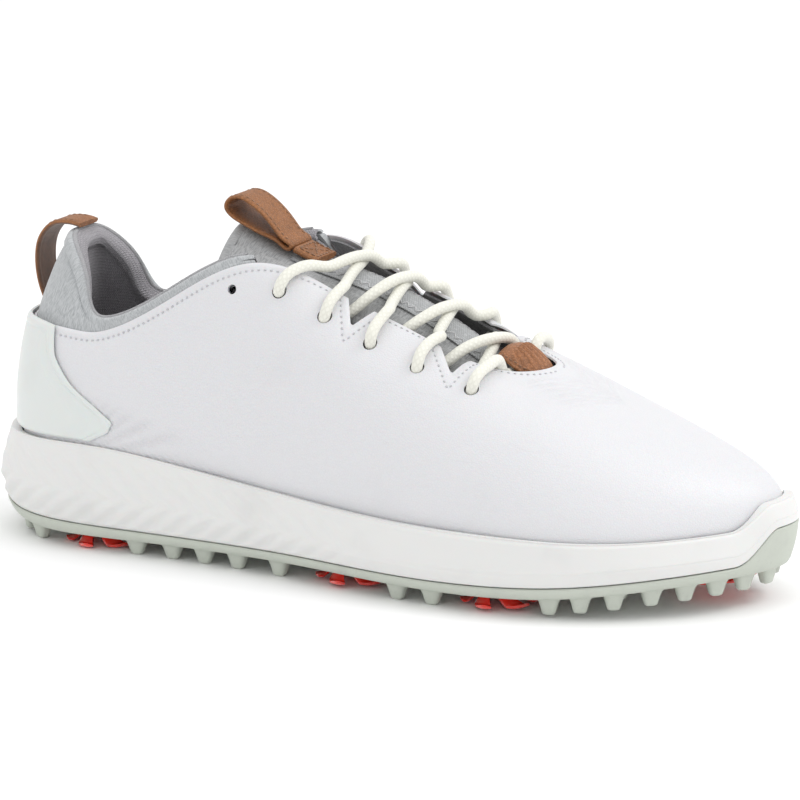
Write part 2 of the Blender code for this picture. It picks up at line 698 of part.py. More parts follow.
def spike_profile(angle):
    """Six swept legs round a shallow dome, a round stem and three locking tabs."""
    leg = 0.5 + 0.5 * math.cos(6 * angle)
    leg = leg**1.5
    tab = TAB_RADIUS if math.cos(3 * angle) > 0.4 else STEM_RADIUS
    rim = SPIKE_RADIUS - 2.2 * (1 - leg)
    return [
        (0, -3.4),
        (5.2, -3.0),
        (8.2, -2.2 - 1.4 * leg, 0.05),
        (11.0, -1.9 - (SPIKE_DEPTH - 1.9) * leg, 0.14),
        (12.8, -1.8 - (SPIKE_DEPTH - 1.8) * leg, 0.2),
        (rim, -1.6 - 0.7 * leg, 0.26),
        (rim - 0.4, -0.45, 0.2),
        (STEM_RADIUS, -0.45),
        (STEM_RADIUS, 2.75),
        (tab, 2.85),
        (tab, 4.1),
        (0, 4.1),
    ]


def receptacle_profile(angle):
    """A cup that opens downward: a notched mouth, then a round chamber where the tabs turn."""
    mouth = TAB_RADIUS + 0.35 if math.cos(3 * (angle - math.pi / 3)) > 0.3 else STEM_RADIUS + 0.35
    return [
        (0, RECEPTACLE_HEIGHT),
        (RECEPTACLE_RADIUS, RECEPTACLE_HEIGHT),
        (RECEPTACLE_RADIUS, 0.0),
        (mouth, 0.0),
        (mouth, 2.4),
        (TAB_RADIUS + 0.35, 2.45),
        (TAB_RADIUS + 0.35, 4.45),
        (0, 4.45),
    ]


def pocket_profile(angle):
    """The round hole through rubber and foam that holds a receptacle."""
    wide = RECEPTACLE_RADIUS + 0.4
    return [(0, -4.0), (wide, -4.0), (wide, RECEPTACLE_HEIGHT + GAP), (0, RECEPTACLE_HEIGHT + GAP)]


def pocket_cutter():
    pieces = [turned_points(pocket_profile, 18, spike_place(x, y)) for _, x, y in SPIKES]
    points, faces = many(pieces)
    return solid("cut_spike_pockets", points, faces, helper=True)


def build_spikes():
    for name, x, y in SPIKES:
        place = spike_place(x, y)
        for kind, profile, look in (("receptacle_", receptacle_profile, "receptacle_black"),
                                    ("spike_", spike_profile, "spike_red")):
            points, faces = turned_points(profile, 18, place)
            solid(kind + name, points, faces, look, origin=place[0])


# ---------------------------------------------------------------- the tongue and its lace


def natural(knots, values):
    """Second differences of a natural cubic spline."""
    n = len(knots)
    h = np.diff(knots)
    matrix = np.eye(n)
    right = np.zeros((n,) + values.shape[1:])
    for i in range(1, n - 1):
        matrix[i, i - 1 : i + 2] = h[i - 1], 2 * (h[i - 1] + h[i]), h[i]
        right[i] = 6 * ((values[i + 1] - values[i]) / h[i] - (values[i] - values[i - 1]) / h[i - 1])
    return np.linalg.solve(matrix, right)


def spline(knots, values, places):
    knots = np.asarray(knots, float)
    values = np.asarray(values, float)
    second = natural(knots, values)
    i = np.clip(np.searchsorted(knots, places) - 1, 0, len(knots) - 2)
    h = (knots[i + 1] - knots[i])[:, None]
    a = (knots[i + 1] - places)[:, None] / h
    b = 1 - a
    bend = ((a**3 - a) * second[i] + (b**3 - b) * second[i + 1]) * h * h / 6
    return a * values[i] + b * values[i + 1] + bend


def crest(u):
    table = np.array(TONGUE_CREST[::-1], float)
    return spline(table[:, 0], table[:, 1:], np.atleast_1d(np.asarray(u, float)))


def tongue_grid(stations, across):
    """Outer face of the tongue: rows along it, columns across it from lateral to medial."""
    rows = []
    table = np.array(TONGUE_SIDE, float)
    sides = spline(table[:, 0], table[:, 1:], np.asarray(stations, float))
    for u, (x, z), (half, low_z) in zip(stations, crest(stations), sides):
        low = smooth((u - 6.4) / 1.3)
        back = 2.1 + 1.4 * smooth((u - 4.5) / 1.0)
        knots = [-1.0, -0.74, -0.5, 0.0, 0.5, 0.74, 1.0]
        values = [np.array([x, 0.5, z])]
        for sign in (-1, 1):
            edge = np.array([x - back, 0.4 + sign * half, low_z])
            step = np.array([4 * (1 - low), sign * (2 + 3 * low), -7 + 3 * low])
            made = [edge, edge + step * 0.5, edge + step]
            values = values + made if sign > 0 else made[::-1] + values
        rows.append(spline(knots, values, np.asarray(across, float)))
    return np.array(rows)


def grid_normals(grid):
    along = np.gradient(grid, axis=0)
    across = np.gradient(grid, axis=1)
    n = np.cross(along, across)
    n /= np.linalg.norm(n, axis=2, keepdims=True)
    n = n * np.sign(n[len(n) // 2, n.shape[1] // 2, 2])
    n = n * 0.3 + n[:, n.shape[1] // 2][:, None] * 0.7
    return n / np.linalg.norm(n, axis=2, keepdims=True)


def tongue_layer(name, stations, across, inner, outer, look):
    """One layer of the tongue. Its faces are a fixed depth plus a depth that thins to the sides."""
    grid = tongue_grid(stations, across)
    n = grid_normals(grid)
    full = (1 - 0.8 * np.abs(np.asarray(across)) ** 2)[None, :, None]
    high = outer[0] + outer[1] * full
    low = inner[0] + inner[1] * full
    return slab(name, grid + n * high, grid + n * low, look, False, TONGUE_HINGE)


def build_tongue():
    stations = np.linspace(4.5, 8.4, 13)
    across = np.linspace(-1, 1, 11)
    tongue_layer("tongue_knit", stations, across, (-1.0, 0), (0, 0), "tongue_knit")
    tongue_layer("tongue_foam", stations, across * 0.97, (-1.7, -3.4), (-1.3, 0), "foam_grey")
    tongue_layer("tongue_lining", stations, across, (-3.2, -3.4), (-2.2, -3.4), "lining_knit")
    tongue_layer("tongue_ribbon", np.linspace(5.2, 7.9, 13), np.linspace(-0.17, 0.17, 3), (0.3, 0),
                 (1.1, 0), "ribbon_grey")
    build_tongue_loop()
    build_keeper()


def crest_frame(u):
    """A point of the crest line, the direction to the tongue's tip and the direction away from the foot."""
    here, ahead = crest(np.array([u, u - 0.02]))
    along = (ahead - here) / np.linalg.norm(ahead - here)
    return here, along, np.array([along[1], -along[0]])


def build_tongue_loop():
    """A folded strap: a stitched patch on the tongue, and the free loop beyond it."""
    root, along, up = crest_frame(5.13)

    def place(distance, height):
        return root + along * distance + up * height

    patch_u = np.linspace(5.17, 5.47, 5)
    patch = []
    for u in patch_u:
        here, _, rise = crest_frame(u)
        patch.append((here + rise * 4.1, here + rise * 1.55))
    strap("tongue_loop_patch", [p[0] for p in patch], [p[1] for p in patch], 16, "leather_brown",
          origin=TONGUE_HINGE)
    outer = [(0.8, 1.7), (1.2, 2.9), (0.8, 4.1), (-2, 4.7), (-8, 6.8), (-14, 9.2), (-20, 10.5),
             (-25.8, 10.1), (-29.2, 7.0), (-29.3, 3.4), (-26, 1.2), (-20, 0.9), (-12, 1.3), (-4, 1.6)]
    inner = [(-1.2, 2.8), (-1.1, 2.95), (-1.2, 3.1), (-3.0, 3.5), (-8, 5.1), (-14, 7.6), (-20, 8.9),
             (-25.0, 8.5), (-27.5, 6.4), (-27.6, 4.1), (-25, 2.8), (-20, 2.5), (-12, 2.7), (-4, 2.75)]
    strap("tongue_loop", [place(-a, b) for a, b in outer], [place(-a, b) for a, b in inner], 17,
          "leather_brown", True, (root[0], 0, root[1] + 2.9))


def build_keeper():
    """The ribbed leather keeper over the lowest lace bar."""
    rows = [(198.0, 82.2, 7.6, 80.6), (202.5, 83.4, 10.2, 79.4), (207.0, 81.8, 10.2, 76.4),
            (211.5, 78.4, 8.2, 74.0), (215.0, 74.0, 5.6, 72.2)]
    table = np.array(rows)
    knots = np.linspace(0, 1, len(rows))
    fine = spline(knots, table, np.linspace(0, 1, 9))
    outer = []
    inner = []
    for x, top, half, edge in fine:
        w = np.linspace(-1, 1, 9)
        z = edge + (top - edge) * (1 - w * w) ** 0.8
        y = w * half + 0.5
        outer.append(np.stack([np.full(9, x), y, z], 1))
        inner.append(np.stack([np.full(9, x), y * 0.97, z - 1.5], 1))
    slab("lace_keeper", outer, inner, "keeper_brown", False)


def on_tongue(u, w, height):
    grid = tongue_grid(np.array([u + 0.05, u, u - 0.05]), np.array([w - 0.02, w, w + 0.02]))
    return grid[1, 1] + grid_normals(grid)[1, 1] * height


def eyelet_point(row, medial, offset, inward=0.0, ahead=0.0):
    u, t = EYELETS[row]
    u = u + ahead
    t = t + inward * (1 - t)
    return shell(18 - u if medial else u, t, offset)


def leather_at(x, t, medial, offset):
    """A point at this X on the upper's surface, t of the way up it."""
    u = np.linspace(4.5, 8.6, 83)
    u = np.interp(x, point(u, t)[:, 0], u)
    return shell(18 - u if medial else u, t, offset)


def lace_path():
    """The whole lace: from one tucked end, criss-cross to the lowest bar and back to the other."""
    low = 2.05 + LACE_RADIUS
    high = low + LACE_RADIUS * 2 + 0.5
    table = np.array(TONGUE_CREST[::-1], float)
    hole_x = [shell(u, t, 0.0)[0] for u, t in EYELETS]
    depths = [-3.3, -0.9, 1.2, 3.2, 5.3]

    def crest_at(x):
        return np.interp(x, table[:, 1], table[:, 0])

    def climb(row, medial, leans, offset, heights=(0.35, 0.75, 1.12)):
        """From beside an eyelet to the leather's edge, leaning forward by these mm."""
        t = EYELETS[row][1]
        return [leather_at(hole_x[row] + lean, t + h * (1 - t), medial, offset)
                for lean, h in zip(leans, heights)]

    def half(medial):
        """From the tucked end, out of the top eyelet and down to the lowest one."""
        on = medial
        free = [(7.5, 0.16, -4.2), (7.0, 0.15, -4.0), (6.5, 0.16, -4.0), (6.1, 0.2, -4.0),
                (5.85, 0.3, -4.0), (5.7, 0.45, -4.2), (5.55, 0.6, -4.2), (5.42, 0.71, -4.4),
                (5.3, 0.79, -4.2)]
        run = [shell(18 - a if medial else a, b, c) for a, b, c in free]
        run += [eyelet_point(0, on, d) for d in depths]
        run += climb(0, on, (1.0, 3.0, 5.5), 5.6)
        for row in range(4):
            sign = 1 if on else -1
            shallow = low if on else high
            cross = crest_at(hole_x[row] + (14.5 if row < 3 else 12.5))
            first = 2.6 if row == 0 else 1.8
            run.append(on_tongue(cross - 0.118, 0.27 * sign, shallow * 0.6 + first))
            run.append(on_tongue(cross - 0.044, 0.1 * sign, shallow))
            run.append(on_tongue(cross + 0.044, -0.1 * sign, shallow))
            run.append(on_tongue(cross + 0.118, -0.27 * sign, shallow * 0.45 + low * 0.5))
            on = not on
            if row < 3:
                run += climb(row + 1, on, (0.2, 0.8, 1.6), 5.6)[::-1]
                run += [eyelet_point(row + 1, on, d) for d in depths[::-1]]
                run += climb(row + 1, on, (2.5, 6.0), -3.5, (0.35, 0.9))
        run += climb(4, on, (-0.5, -3.0), -3.5, (0.35, 0.9))[::-1]
        run += [eyelet_point(4, on, d) for d in depths]
        run += climb(4, on, (0.5, 1.5, 2.0), 6.1)
        return run

    first = half(False)
    second = half(True)
    middle = crest_at(hole_x[4] + 3.0)
    bar = [on_tongue(middle, 0.3, 4.4), on_tongue(middle + 0.02, 0.0, 4.0), on_tongue(middle, -0.3, 4.4)]
    bar = bar if first[-1][1] > 0 else bar[::-1]
    return np.array(first + bar + second[::-1])


def build_lace():
    path = resample(rounded(lace_path(), 2), 5.5)
    thin = 6
    radii = np.full(len(path), LACE_RADIUS)
    radii[:thin] = 1.15
    radii[-thin:] = 1.15
    rod("lace", path, radii, 6, "lace_white")
    sleeve("aglet_lateral", path[: thin - 1], 1.5, 2.0, 8, "aglet_clear")
    sleeve("aglet_medial", path[-(thin - 1):], 1.5, 2.0, 8, "aglet_clear")


def build_heel_loop():
    """The webbing-backed pull loop over the back of the collar, in X and Z."""
    outer = [(17.2, 83.4), (15.4, 88), (14.1, 94), (13.9, 100), (15.0, 105.5), (17.8, 110),
             (21.8, 112.9), (26, 113.7), (30, 113.6), (33.2, 112.9)]
    line = np.array(outer)
    along = np.gradient(line, axis=0)
    across = np.stack([along[:, 1], -along[:, 0]], 1)
    across /= np.linalg.norm(across, axis=1, keepdims=True)
    inner = line + across * 1.9
    strap("heel_loop", line, inner, 14, "leather_brown")


def main():
    clear_scene()
    material("leather_white", (0.84, 0.84, 0.87), 0.5)
    material("clip_white", (0.78, 0.8, 0.78), 0.35)
    material("collar_knit", (0.5, 0.51, 0.54), 0.95)
    material("binding_grey", (0.6, 0.6, 0.62), 0.9)
    material("backing_grey", (0.4, 0.41, 0.42), 0.95)
    material("lining_knit", (0.3, 0.29, 0.32), 0.95)
    material("tongue_knit", (0.34, 0.35, 0.36), 0.95)
    material("ribbon_grey", (0.5, 0.51, 0.52), 0.9)
    material("foam_grey", (0.45, 0.45, 0.45), 0.95)
    material("stiffener_board", (0.75, 0.72, 0.65), 0.9)
    material("board_white", (0.8, 0.8, 0.76), 0.9)
    material("insole_grey", (0.22, 0.22, 0.25), 0.95)
    material("leather_brown", (0.38, 0.18, 0.09), 0.6)
    material("keeper_brown", (0.42, 0.23, 0.14), 0.65)
    material("lace_white", (0.83, 0.83, 0.76), 0.85)
    material("aglet_clear", (0.9, 0.9, 0.9), 0.2)
    material("rubber_grey", (0.55, 0.56, 0.52), 0.7)
    material("midsole_foam", (0.86, 0.85, 0.84), 0.6)
    material("shank_black", (0.05, 0.05, 0.06), 0.4)
    material("receptacle_black", (0.1, 0.1, 0.11), 0.4)
    material("spike_red", (0.55, 0.03, 0.02), 0.2, clear=0.5)
    build_upper()
    build_sole()
    build_spikes()
    build_tongue()
    build_lace()
    build_heel_loop()


main()
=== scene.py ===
"""Looks of the spiked golf shoe: fine surfaces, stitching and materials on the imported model.

Lengths are in millimetres from the back of the heel, as the shoe was drawn, and to_world turns them
into metres. Stations u run round the shoe: 0 is the back of the heel, 1 to 8 the lateral side (-Y),
9 the toe tip and 10 to 17 the medial side. t runs up the upper from the sole seam, 0, to the rim, 1.
"""
import math

import bpy
import numpy as np
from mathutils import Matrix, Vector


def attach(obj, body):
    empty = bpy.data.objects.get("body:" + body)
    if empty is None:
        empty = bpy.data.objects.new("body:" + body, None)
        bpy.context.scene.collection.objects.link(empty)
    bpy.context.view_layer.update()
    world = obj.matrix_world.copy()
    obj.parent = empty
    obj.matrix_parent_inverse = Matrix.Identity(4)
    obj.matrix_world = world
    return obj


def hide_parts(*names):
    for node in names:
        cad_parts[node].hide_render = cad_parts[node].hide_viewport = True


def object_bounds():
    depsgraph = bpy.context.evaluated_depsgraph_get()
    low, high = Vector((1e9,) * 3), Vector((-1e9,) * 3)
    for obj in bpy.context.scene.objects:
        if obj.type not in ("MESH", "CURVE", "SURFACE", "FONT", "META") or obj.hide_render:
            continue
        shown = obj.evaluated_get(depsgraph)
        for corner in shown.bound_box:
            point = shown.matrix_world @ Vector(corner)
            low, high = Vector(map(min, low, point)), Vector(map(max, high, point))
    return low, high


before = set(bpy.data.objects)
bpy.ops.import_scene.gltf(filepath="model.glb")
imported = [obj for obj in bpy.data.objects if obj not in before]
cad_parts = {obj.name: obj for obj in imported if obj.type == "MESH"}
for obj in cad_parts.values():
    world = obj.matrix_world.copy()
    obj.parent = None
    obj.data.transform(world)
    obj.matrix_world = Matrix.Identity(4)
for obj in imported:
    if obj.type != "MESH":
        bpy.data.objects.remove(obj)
cad_low, cad_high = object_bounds()

SHIFT = np.array([cad_low[0] * 1000, 3.2, 0.0])
LEATHER_IN, LEATHER_OUT = 1.6, 3.0
CLIP_IN = 3.5
KNIT_THICKNESS = 1.0
FOAM_DEPTH = 4.3
RUBBER_FLOOR, RUBBER_WALL = 3.7, 2.2
LUG_DEPTH = 6.2
# The lace's route is laid out for LACE_RADIUS, the CAD's, and the lace is drawn a little thicker.
LACE_RADIUS = 1.7
LACE_STEP = 0.55
EYELET_RADIUS, SPARE_RADIUS = 2.5, 1.7
LACE_DRAWN_RADIUS = 2.0
SPIKE_RADIUS, SPIKE_DEPTH = 14.3, 5.25
STEM_RADIUS = 5.2
STITCH_INSET = 2.9

# Rows: x, y of the lateral side, y of the medial side, z. The first and last row are heel and toe.
SOLE_SEAM = [(14, 0, 0, 27), (20, -19, 20, 27), (36, -28.5, 29, 26), (62, -30.5, 30, 24),
             (98, -32, 27, 21.5), (138, -37, 27, 18.5), (180, -45, 34, 16), (222, -47.5, 39.5, 16),
             (262, -34, 32.5, 18.5), (293, 6, 6, 23)]
LOWER_GUIDE = [(11, 0, 0, 58), (16, -23, 24, 56), (32, -35, 35, 52), (62, -37, 35, 48),
               (98, -38.5, 32, 46), (138, -43.5, 33, 43), (180, -53, 42, 40), (226, -56.5, 49, 38),
               (275, -42, 40, 40), (309, 8, 8, 47)]
UPPER_GUIDE = [(19, 0, 0, 88), (22, -17, 18, 86), (33, -28, 28, 80), (55, -33, 32, 72),
               (90, -34.5, 32, 80), (126, -36.5, 34, 92), (158, -36, 34, 85), (190, -35, 36, 74),
               (230, -24, 29, 65), (258, 3, 3, 51)]
TOP_EDGE = [(29, 0, 0, 109), (32.5, -13, 12, 107), (42, -21.5, 21, 95), (51, -26.5, 26, 82.5),
            (78, -29.5, 29, 93), (112, -27, 27, 110), (142, -22.5, 22.5, 99),
            (168, -21.5, 21.5, 88.5), (197, -18.5, 19.5, 76), (215, 0.5, 0.5, 74)]
TREAD_EDGE = [(7, 0, 0, 9.5), (13, -21, 22, 7.4), (32, -34.5, 35, 5.6), (62, -37.5, 36, 5.5),
              (98, -39, 33, 5.9), (138, -44, 34, 6.2), (180, -52, 41, 6.0), (222, -53, 47, 6.4),
              (264, -40, 40, 10.2), (301, 6, 6, 13.6)]
RUBBER_RIM = [(3, 0, 0, 13.5), (10, -22, 23, 11.8), (31, -36.5, 37, 10.3), (62, -39.3, 38, 9.6),
              (98, -41, 35, 9.6), (138, -46, 36, 9.8), (180, -54.2, 43, 9.8), (223, -55, 49, 10.6),
              (267, -41, 41, 14.5), (304, 6, 6, 18)]
FOAM_WIDEST = [(0, 0, 0, 23), (8, -23, 24, 22), (30, -38, 38.5, 20), (62, -40.5, 39.5, 18),
               (98, -42, 36, 17), (138, -47, 37, 15.5), (180, -55.5, 44, 14.5), (224, -56, 50.5, 15),
               (268, -41.5, 41.5, 19), (303.5, 6, 6, 21)]
FOAM_RIM = [(5, 0, 0, 38.5), (12, -22, 23, 38.5), (33, -35.5, 36, 39), (62, -38, 37, 38.5),
            (98, -40, 34, 34.5), (138, -45, 35.5, 30.5), (180, -54, 43, 28.5), (224, -55, 49.5, 28),
            (266, -41, 41, 28), (301.5, 6, 6, 29.5)]
NOTCHES = [[(6.06, 0.83), (6.27, 1.07), (6.8, 1.07)], [(7.24, 0.80), (7.62, 1.07), (8.09, 1.07)]]
# Values at stations 0 to 9, the same on both sides.
LEATHER_TOP = [0.60, 0.62, 0.71, 0.885, 0.958, 0.968, 1.0, 1.0, 1.0, 1.0]
LINING_TOP = [0.72, 0.72, 0.72, 0.72, 0.72, 0.72, 0.70, 0.64, 0.72, 0.82]
# Rows of the tongue's side: station, half width and z. Rows of its crest: station, x and z.
TONGUE_SIDE = [(4.5, 20.0, 101), (5.0, 19.4, 103), (5.5, 20.3, 101), (6.0, 20.4, 94.2), (6.5, 19, 88.4),
               (7.0, 19.2, 82.9), (7.5, 19.8, 76.3), (8.0, 17.6, 69.8), (8.4, 11.5, 65.2)]
TONGUE_CREST = [(4.5, 98, 118), (5.0, 113, 110.5), (5.25, 121, 106.8), (5.5, 128.8, 104),
                (6.0, 143, 101.3), (6.5, 157, 96.8), (7.0, 170, 91), (7.5, 184, 83), (8.0, 199, 73.5),
                (8.4, 208, 68)]
EYELETS = [(5.24, 0.853), (5.73, 0.818), (6.28, 0.797), (6.83, 0.775), (7.36, 0.752)]
SPARE_EYELET = (4.74, 0.868)
SPIKES = [("heel_lateral", 50, -21.5), ("heel_medial", 52, 21), ("waist_lateral", 155, -31),
          ("waist_medial", 160, 20), ("ball_lateral", 213, -37), ("ball_medial", 217, 31),
          ("toe", 276, 5)]
LUGS_LATERAL = [0.0, 0.55, 1.12, 1.7, 3.21, 3.62, 3.97, 4.32, 4.75, 5.95, 6.28, 7.35, 7.62, 7.87,
                8.1, 8.29, 8.47, 8.65, 8.87]
LUGS_MEDIAL = [0.55, 1.12, 1.7, 3.21, 3.62, 4.05, 4.6, 5.1, 6.1, 6.42, 7.5, 7.8, 8.06, 8.28, 8.5, 8.71]
LUGS_INNER = [(27, -9), (27, 10), (72, -10), (72, 11), (90, -15), (90, 14), (112, -18), (112, 12),
              (132, -6), (178, -12), (186, 4), (198, -10), (236, -14), (240, 8), (252, -24),
              (252, 24), (186, -34)]


# ---------------------------------------------------------------- the shoe's surfaces


def ring(rows):
    """The 18 points of a closed curve round the shoe, from its rows."""
    points = [(rows[0][0], rows[0][1], rows[0][3])]
    points += [(x, lateral, z) for x, lateral, medial, z in rows[1:9]]
    points += [(rows[9][0], rows[9][1], rows[9][3])]
    points += [(x, medial, z) for x, lateral, medial, z in rows[8:0:-1]]
    return np.array(points, float)


class Periodic:
    """A smooth closed curve, or number, through values at stations 0, 1, 2 and so on."""

    def __init__(self, values):
        self.values = np.asarray(values, float)
        count = len(self.values)
        matrix = 4 * np.eye(count) + np.roll(np.eye(count), 1, 1) + np.roll(np.eye(count), -1, 1)
        bend = np.roll(self.values, -1, 0) - 2 * self.values + np.roll(self.values, 1, 0)
        self.second = np.linalg.solve(matrix, 6 * bend)

    def __call__(self, u):
        u = np.asarray(u, float) % len(self.values)
        low = np.floor(u).astype(int) % len(self.values)
        high = (low + 1) % len(self.values)
        f = u - np.floor(u)
        if self.values.ndim > 1:
            f = f[..., None]
        a = 1 - f
        line = a * self.values[low] + f * self.values[high]
        return line + ((a**3 - a) * self.second[low] + (f**3 - f) * self.second[high]) / 6


def both_sides(values):
    return Periodic(list(values) + list(values[8:0:-1]))


GUIDES = [Periodic(ring(rows)) for rows in (SOLE_SEAM, LOWER_GUIDE, UPPER_GUIDE, TOP_EDGE)]
TREAD, RIM, WIDEST, LIP = [Periodic(ring(r)) for r in (TREAD_EDGE, RUBBER_RIM, FOAM_WIDEST, FOAM_RIM)]
LEATHER_EDGE = both_sides(LEATHER_TOP)
LINING_EDGE = both_sides(LINING_TOP)


def smooth(x):
    x = np.clip(x, 0, 1)
    return x * x * (3 - 2 * x)


def side(u):
    """How far round from the heel, 0 to 9, on either side."""
    u = np.asarray(u, float) % 18
    return np.minimum(u, 18 - u)


def toe_lift(u):
    """0 along the sides, 1 across the toe bumper."""
    return smooth((side(u) - 8.5) / 0.3)[..., None]


def rim_line(u):
    return RIM(u) + toe_lift(u) * np.array([0, 0, 10.5])


def lip_line(u):
    return LIP(u) + toe_lift(u) * np.array([0, 0, 7.5])


def widest_line(u):
    return WIDEST(u) + toe_lift(u) * np.array([0, 0, 10.0])


def lining_edge(u):
    """The lining reaches the rim in the collar and stops below the eyelets further forward."""
    return LINING_EDGE(u) + (1 - LINING_EDGE(u)) * smooth((5.2 - side(u)) / 0.25)


def point(u, t):
    u, t = np.broadcast_arrays(np.asarray(u, float), np.asarray(t, float))
    a = (1 - t)[..., None]
    b = t[..., None]
    c = [guide(u) for guide in GUIDES]
    return a**3 * c[0] + 3 * a * a * b * c[1] + 3 * a * b * b * c[2] + b**3 * c[3]


def unit(v):
    return v / np.linalg.norm(v, axis=-1, keepdims=True)


def tangent_up(u, t, step=1e-3):
    t = np.asarray(t, float)
    return unit(point(u, t + step) - point(u, t - step))


def normal(u, t, step=1e-3):
    """Outward normal of the upper's surface."""
    u = np.asarray(u, float)
    return unit(np.cross(point(u + step, t) - point(u - step, t), tangent_up(u, t)))


def shell(u, t, offset):
    u, t, offset = np.broadcast_arrays(*[np.asarray(v, float) for v in (u, t, offset)])
    return point(u, t) + normal(u, t) * offset[..., None]


def padding(u, t):
    """How much foam lies behind the collar: 0 in the vamp, 1 in the collar, more at the heel bulge."""
    s = side(u)
    base = smooth((5.35 - s) / 0.9) * smooth((np.asarray(t, float) - 0.3) / 0.2)
    bulge = 0.5 * np.exp(-((s / 1.3) ** 2)) * np.exp(-(((t - 0.74) / 0.16) ** 2))
    return base * (1 + bulge)


def natural(knots, values):
    """Second differences of a natural cubic spline."""
    n = len(knots)
    h = np.diff(knots)
    matrix = np.eye(n)
    right = np.zeros((n,) + values.shape[1:])
    for i in range(1, n - 1):
        matrix[i, i - 1 : i + 2] = h[i - 1], 2 * (h[i - 1] + h[i]), h[i]
        right[i] = 6 * ((values[i + 1] - values[i]) / h[i] - (values[i] - values[i - 1]) / h[i - 1])
    flat = right.reshape(n, -1)
    return np.linalg.solve(matrix, flat).reshape(right.shape)


def spline(knots, values, places):
    """A natural cubic spline through values at knots, read at places."""
    knots = np.asarray(knots, float)
    values = np.asarray(values, float)
    places = np.asarray(places, float)
    second = natural(knots, values)
    i = np.clip(np.searchsorted(knots, places) - 1, 0, len(knots) - 2)
    shape = (-1,) + (1,) * (values.ndim - 1)
    h = (knots[i + 1] - knots[i]).reshape(shape)
    a = (knots[i + 1] - places).reshape(shape) / h
    b = 1 - a
    bend = ((a**3 - a) * second[i] + (b**3 - b) * second[i + 1]) * h * h / 6
    return a * values[i] + b * values[i + 1] + bend


# ---------------------------------------------------------------- meshes


def to_world(points):
    return (np.asarray(points, float) + SHIFT) / 1000


def make(name, points, faces, looks, body, replaces=(), uv=None, which=None, sharp=None):
    """A mesh piece from points in mm. faces is an array of quads, or a list of mixed faces."""
    world = to_world(points).reshape(-1, 3)
    mesh = bpy.data.meshes.new(name)
    faces = [tuple(f) for f in (faces.tolist() if isinstance(faces, np.ndarray) else faces)]
    mesh.from_pydata(world.tolist(), [], faces)
    for look in looks if isinstance(looks, (list, tuple)) else [looks]:
        mesh.materials.append(look)
    if which is not None:
        mesh.polygons.foreach_set("material_index", np.asarray(which, np.int32))
    if uv is not None:
        layer = mesh.uv_layers.new(name="surface")
        loops = np.empty(len(mesh.loops), np.int32)
        mesh.loops.foreach_get("vertex_index", loops)
        uv = np.asarray(uv, np.float32)
        layer.data.foreach_set("uv", (uv if len(uv) == len(loops) else uv[loops]).ravel())
    mesh.update()
    mesh.shade_smooth()
    if sharp:
        mesh.set_sharp_from_angle(angle=math.radians(sharp))
    made = bpy.data.objects.new(name, mesh)
    bpy.context.scene.collection.objects.link(made)
    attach(made, body)
    if replaces:
        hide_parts(*replaces)
    return made


def arc_lengths(grid):
    """Distances in mm along the rows and along the columns of a grid of points."""
    along = np.linalg.norm(np.diff(grid, axis=0), axis=2).mean(1)
    up = np.linalg.norm(np.diff(grid, axis=1), axis=2)
    a = np.concatenate([[0], np.cumsum(along)])[:, None] + np.zeros(grid.shape[1])
    b = np.concatenate([np.zeros((len(grid), 1)), np.cumsum(up, 1)], 1)
    return np.stack([a, b], 2)


def grid_quads(rows, cols, wrap):
    last = rows if wrap else rows - 1
    i, j = np.meshgrid(np.arange(last), np.arange(cols - 1), indexing="ij")
    k = (i + 1) % rows
    return np.stack([i * cols + j, i * cols + j + 1, k * cols + j + 1, k * cols + j], 2)


def ring_quads(rings, sides):
    """Quads between rings of points that are numbered ring by ring."""
    i, j = np.meshgrid(np.arange(rings - 1), np.arange(sides), indexing="ij")
    k = (j + 1) % sides
    quads = np.stack([i * sides + j, i * sides + k, (i + 1) * sides + k, (i + 1) * sides + j], 2)
    return quads.reshape(-1, 4)


def capped_rings(rings, sides):
    """The faces of a stack of rings, closed at both ends, that face out when the rings go down."""
    last = (rings - 1) * sides
    caps = [tuple(range(sides)), tuple(reversed(range(last, last + sides)))]
    return caps + ring_quads(rings, sides)[:, ::-1].tolist()


def run_of(path):
    """Distance along a path at each of its points."""
    return np.concatenate([[0], np.cumsum(np.linalg.norm(np.diff(path, axis=0), axis=1))])


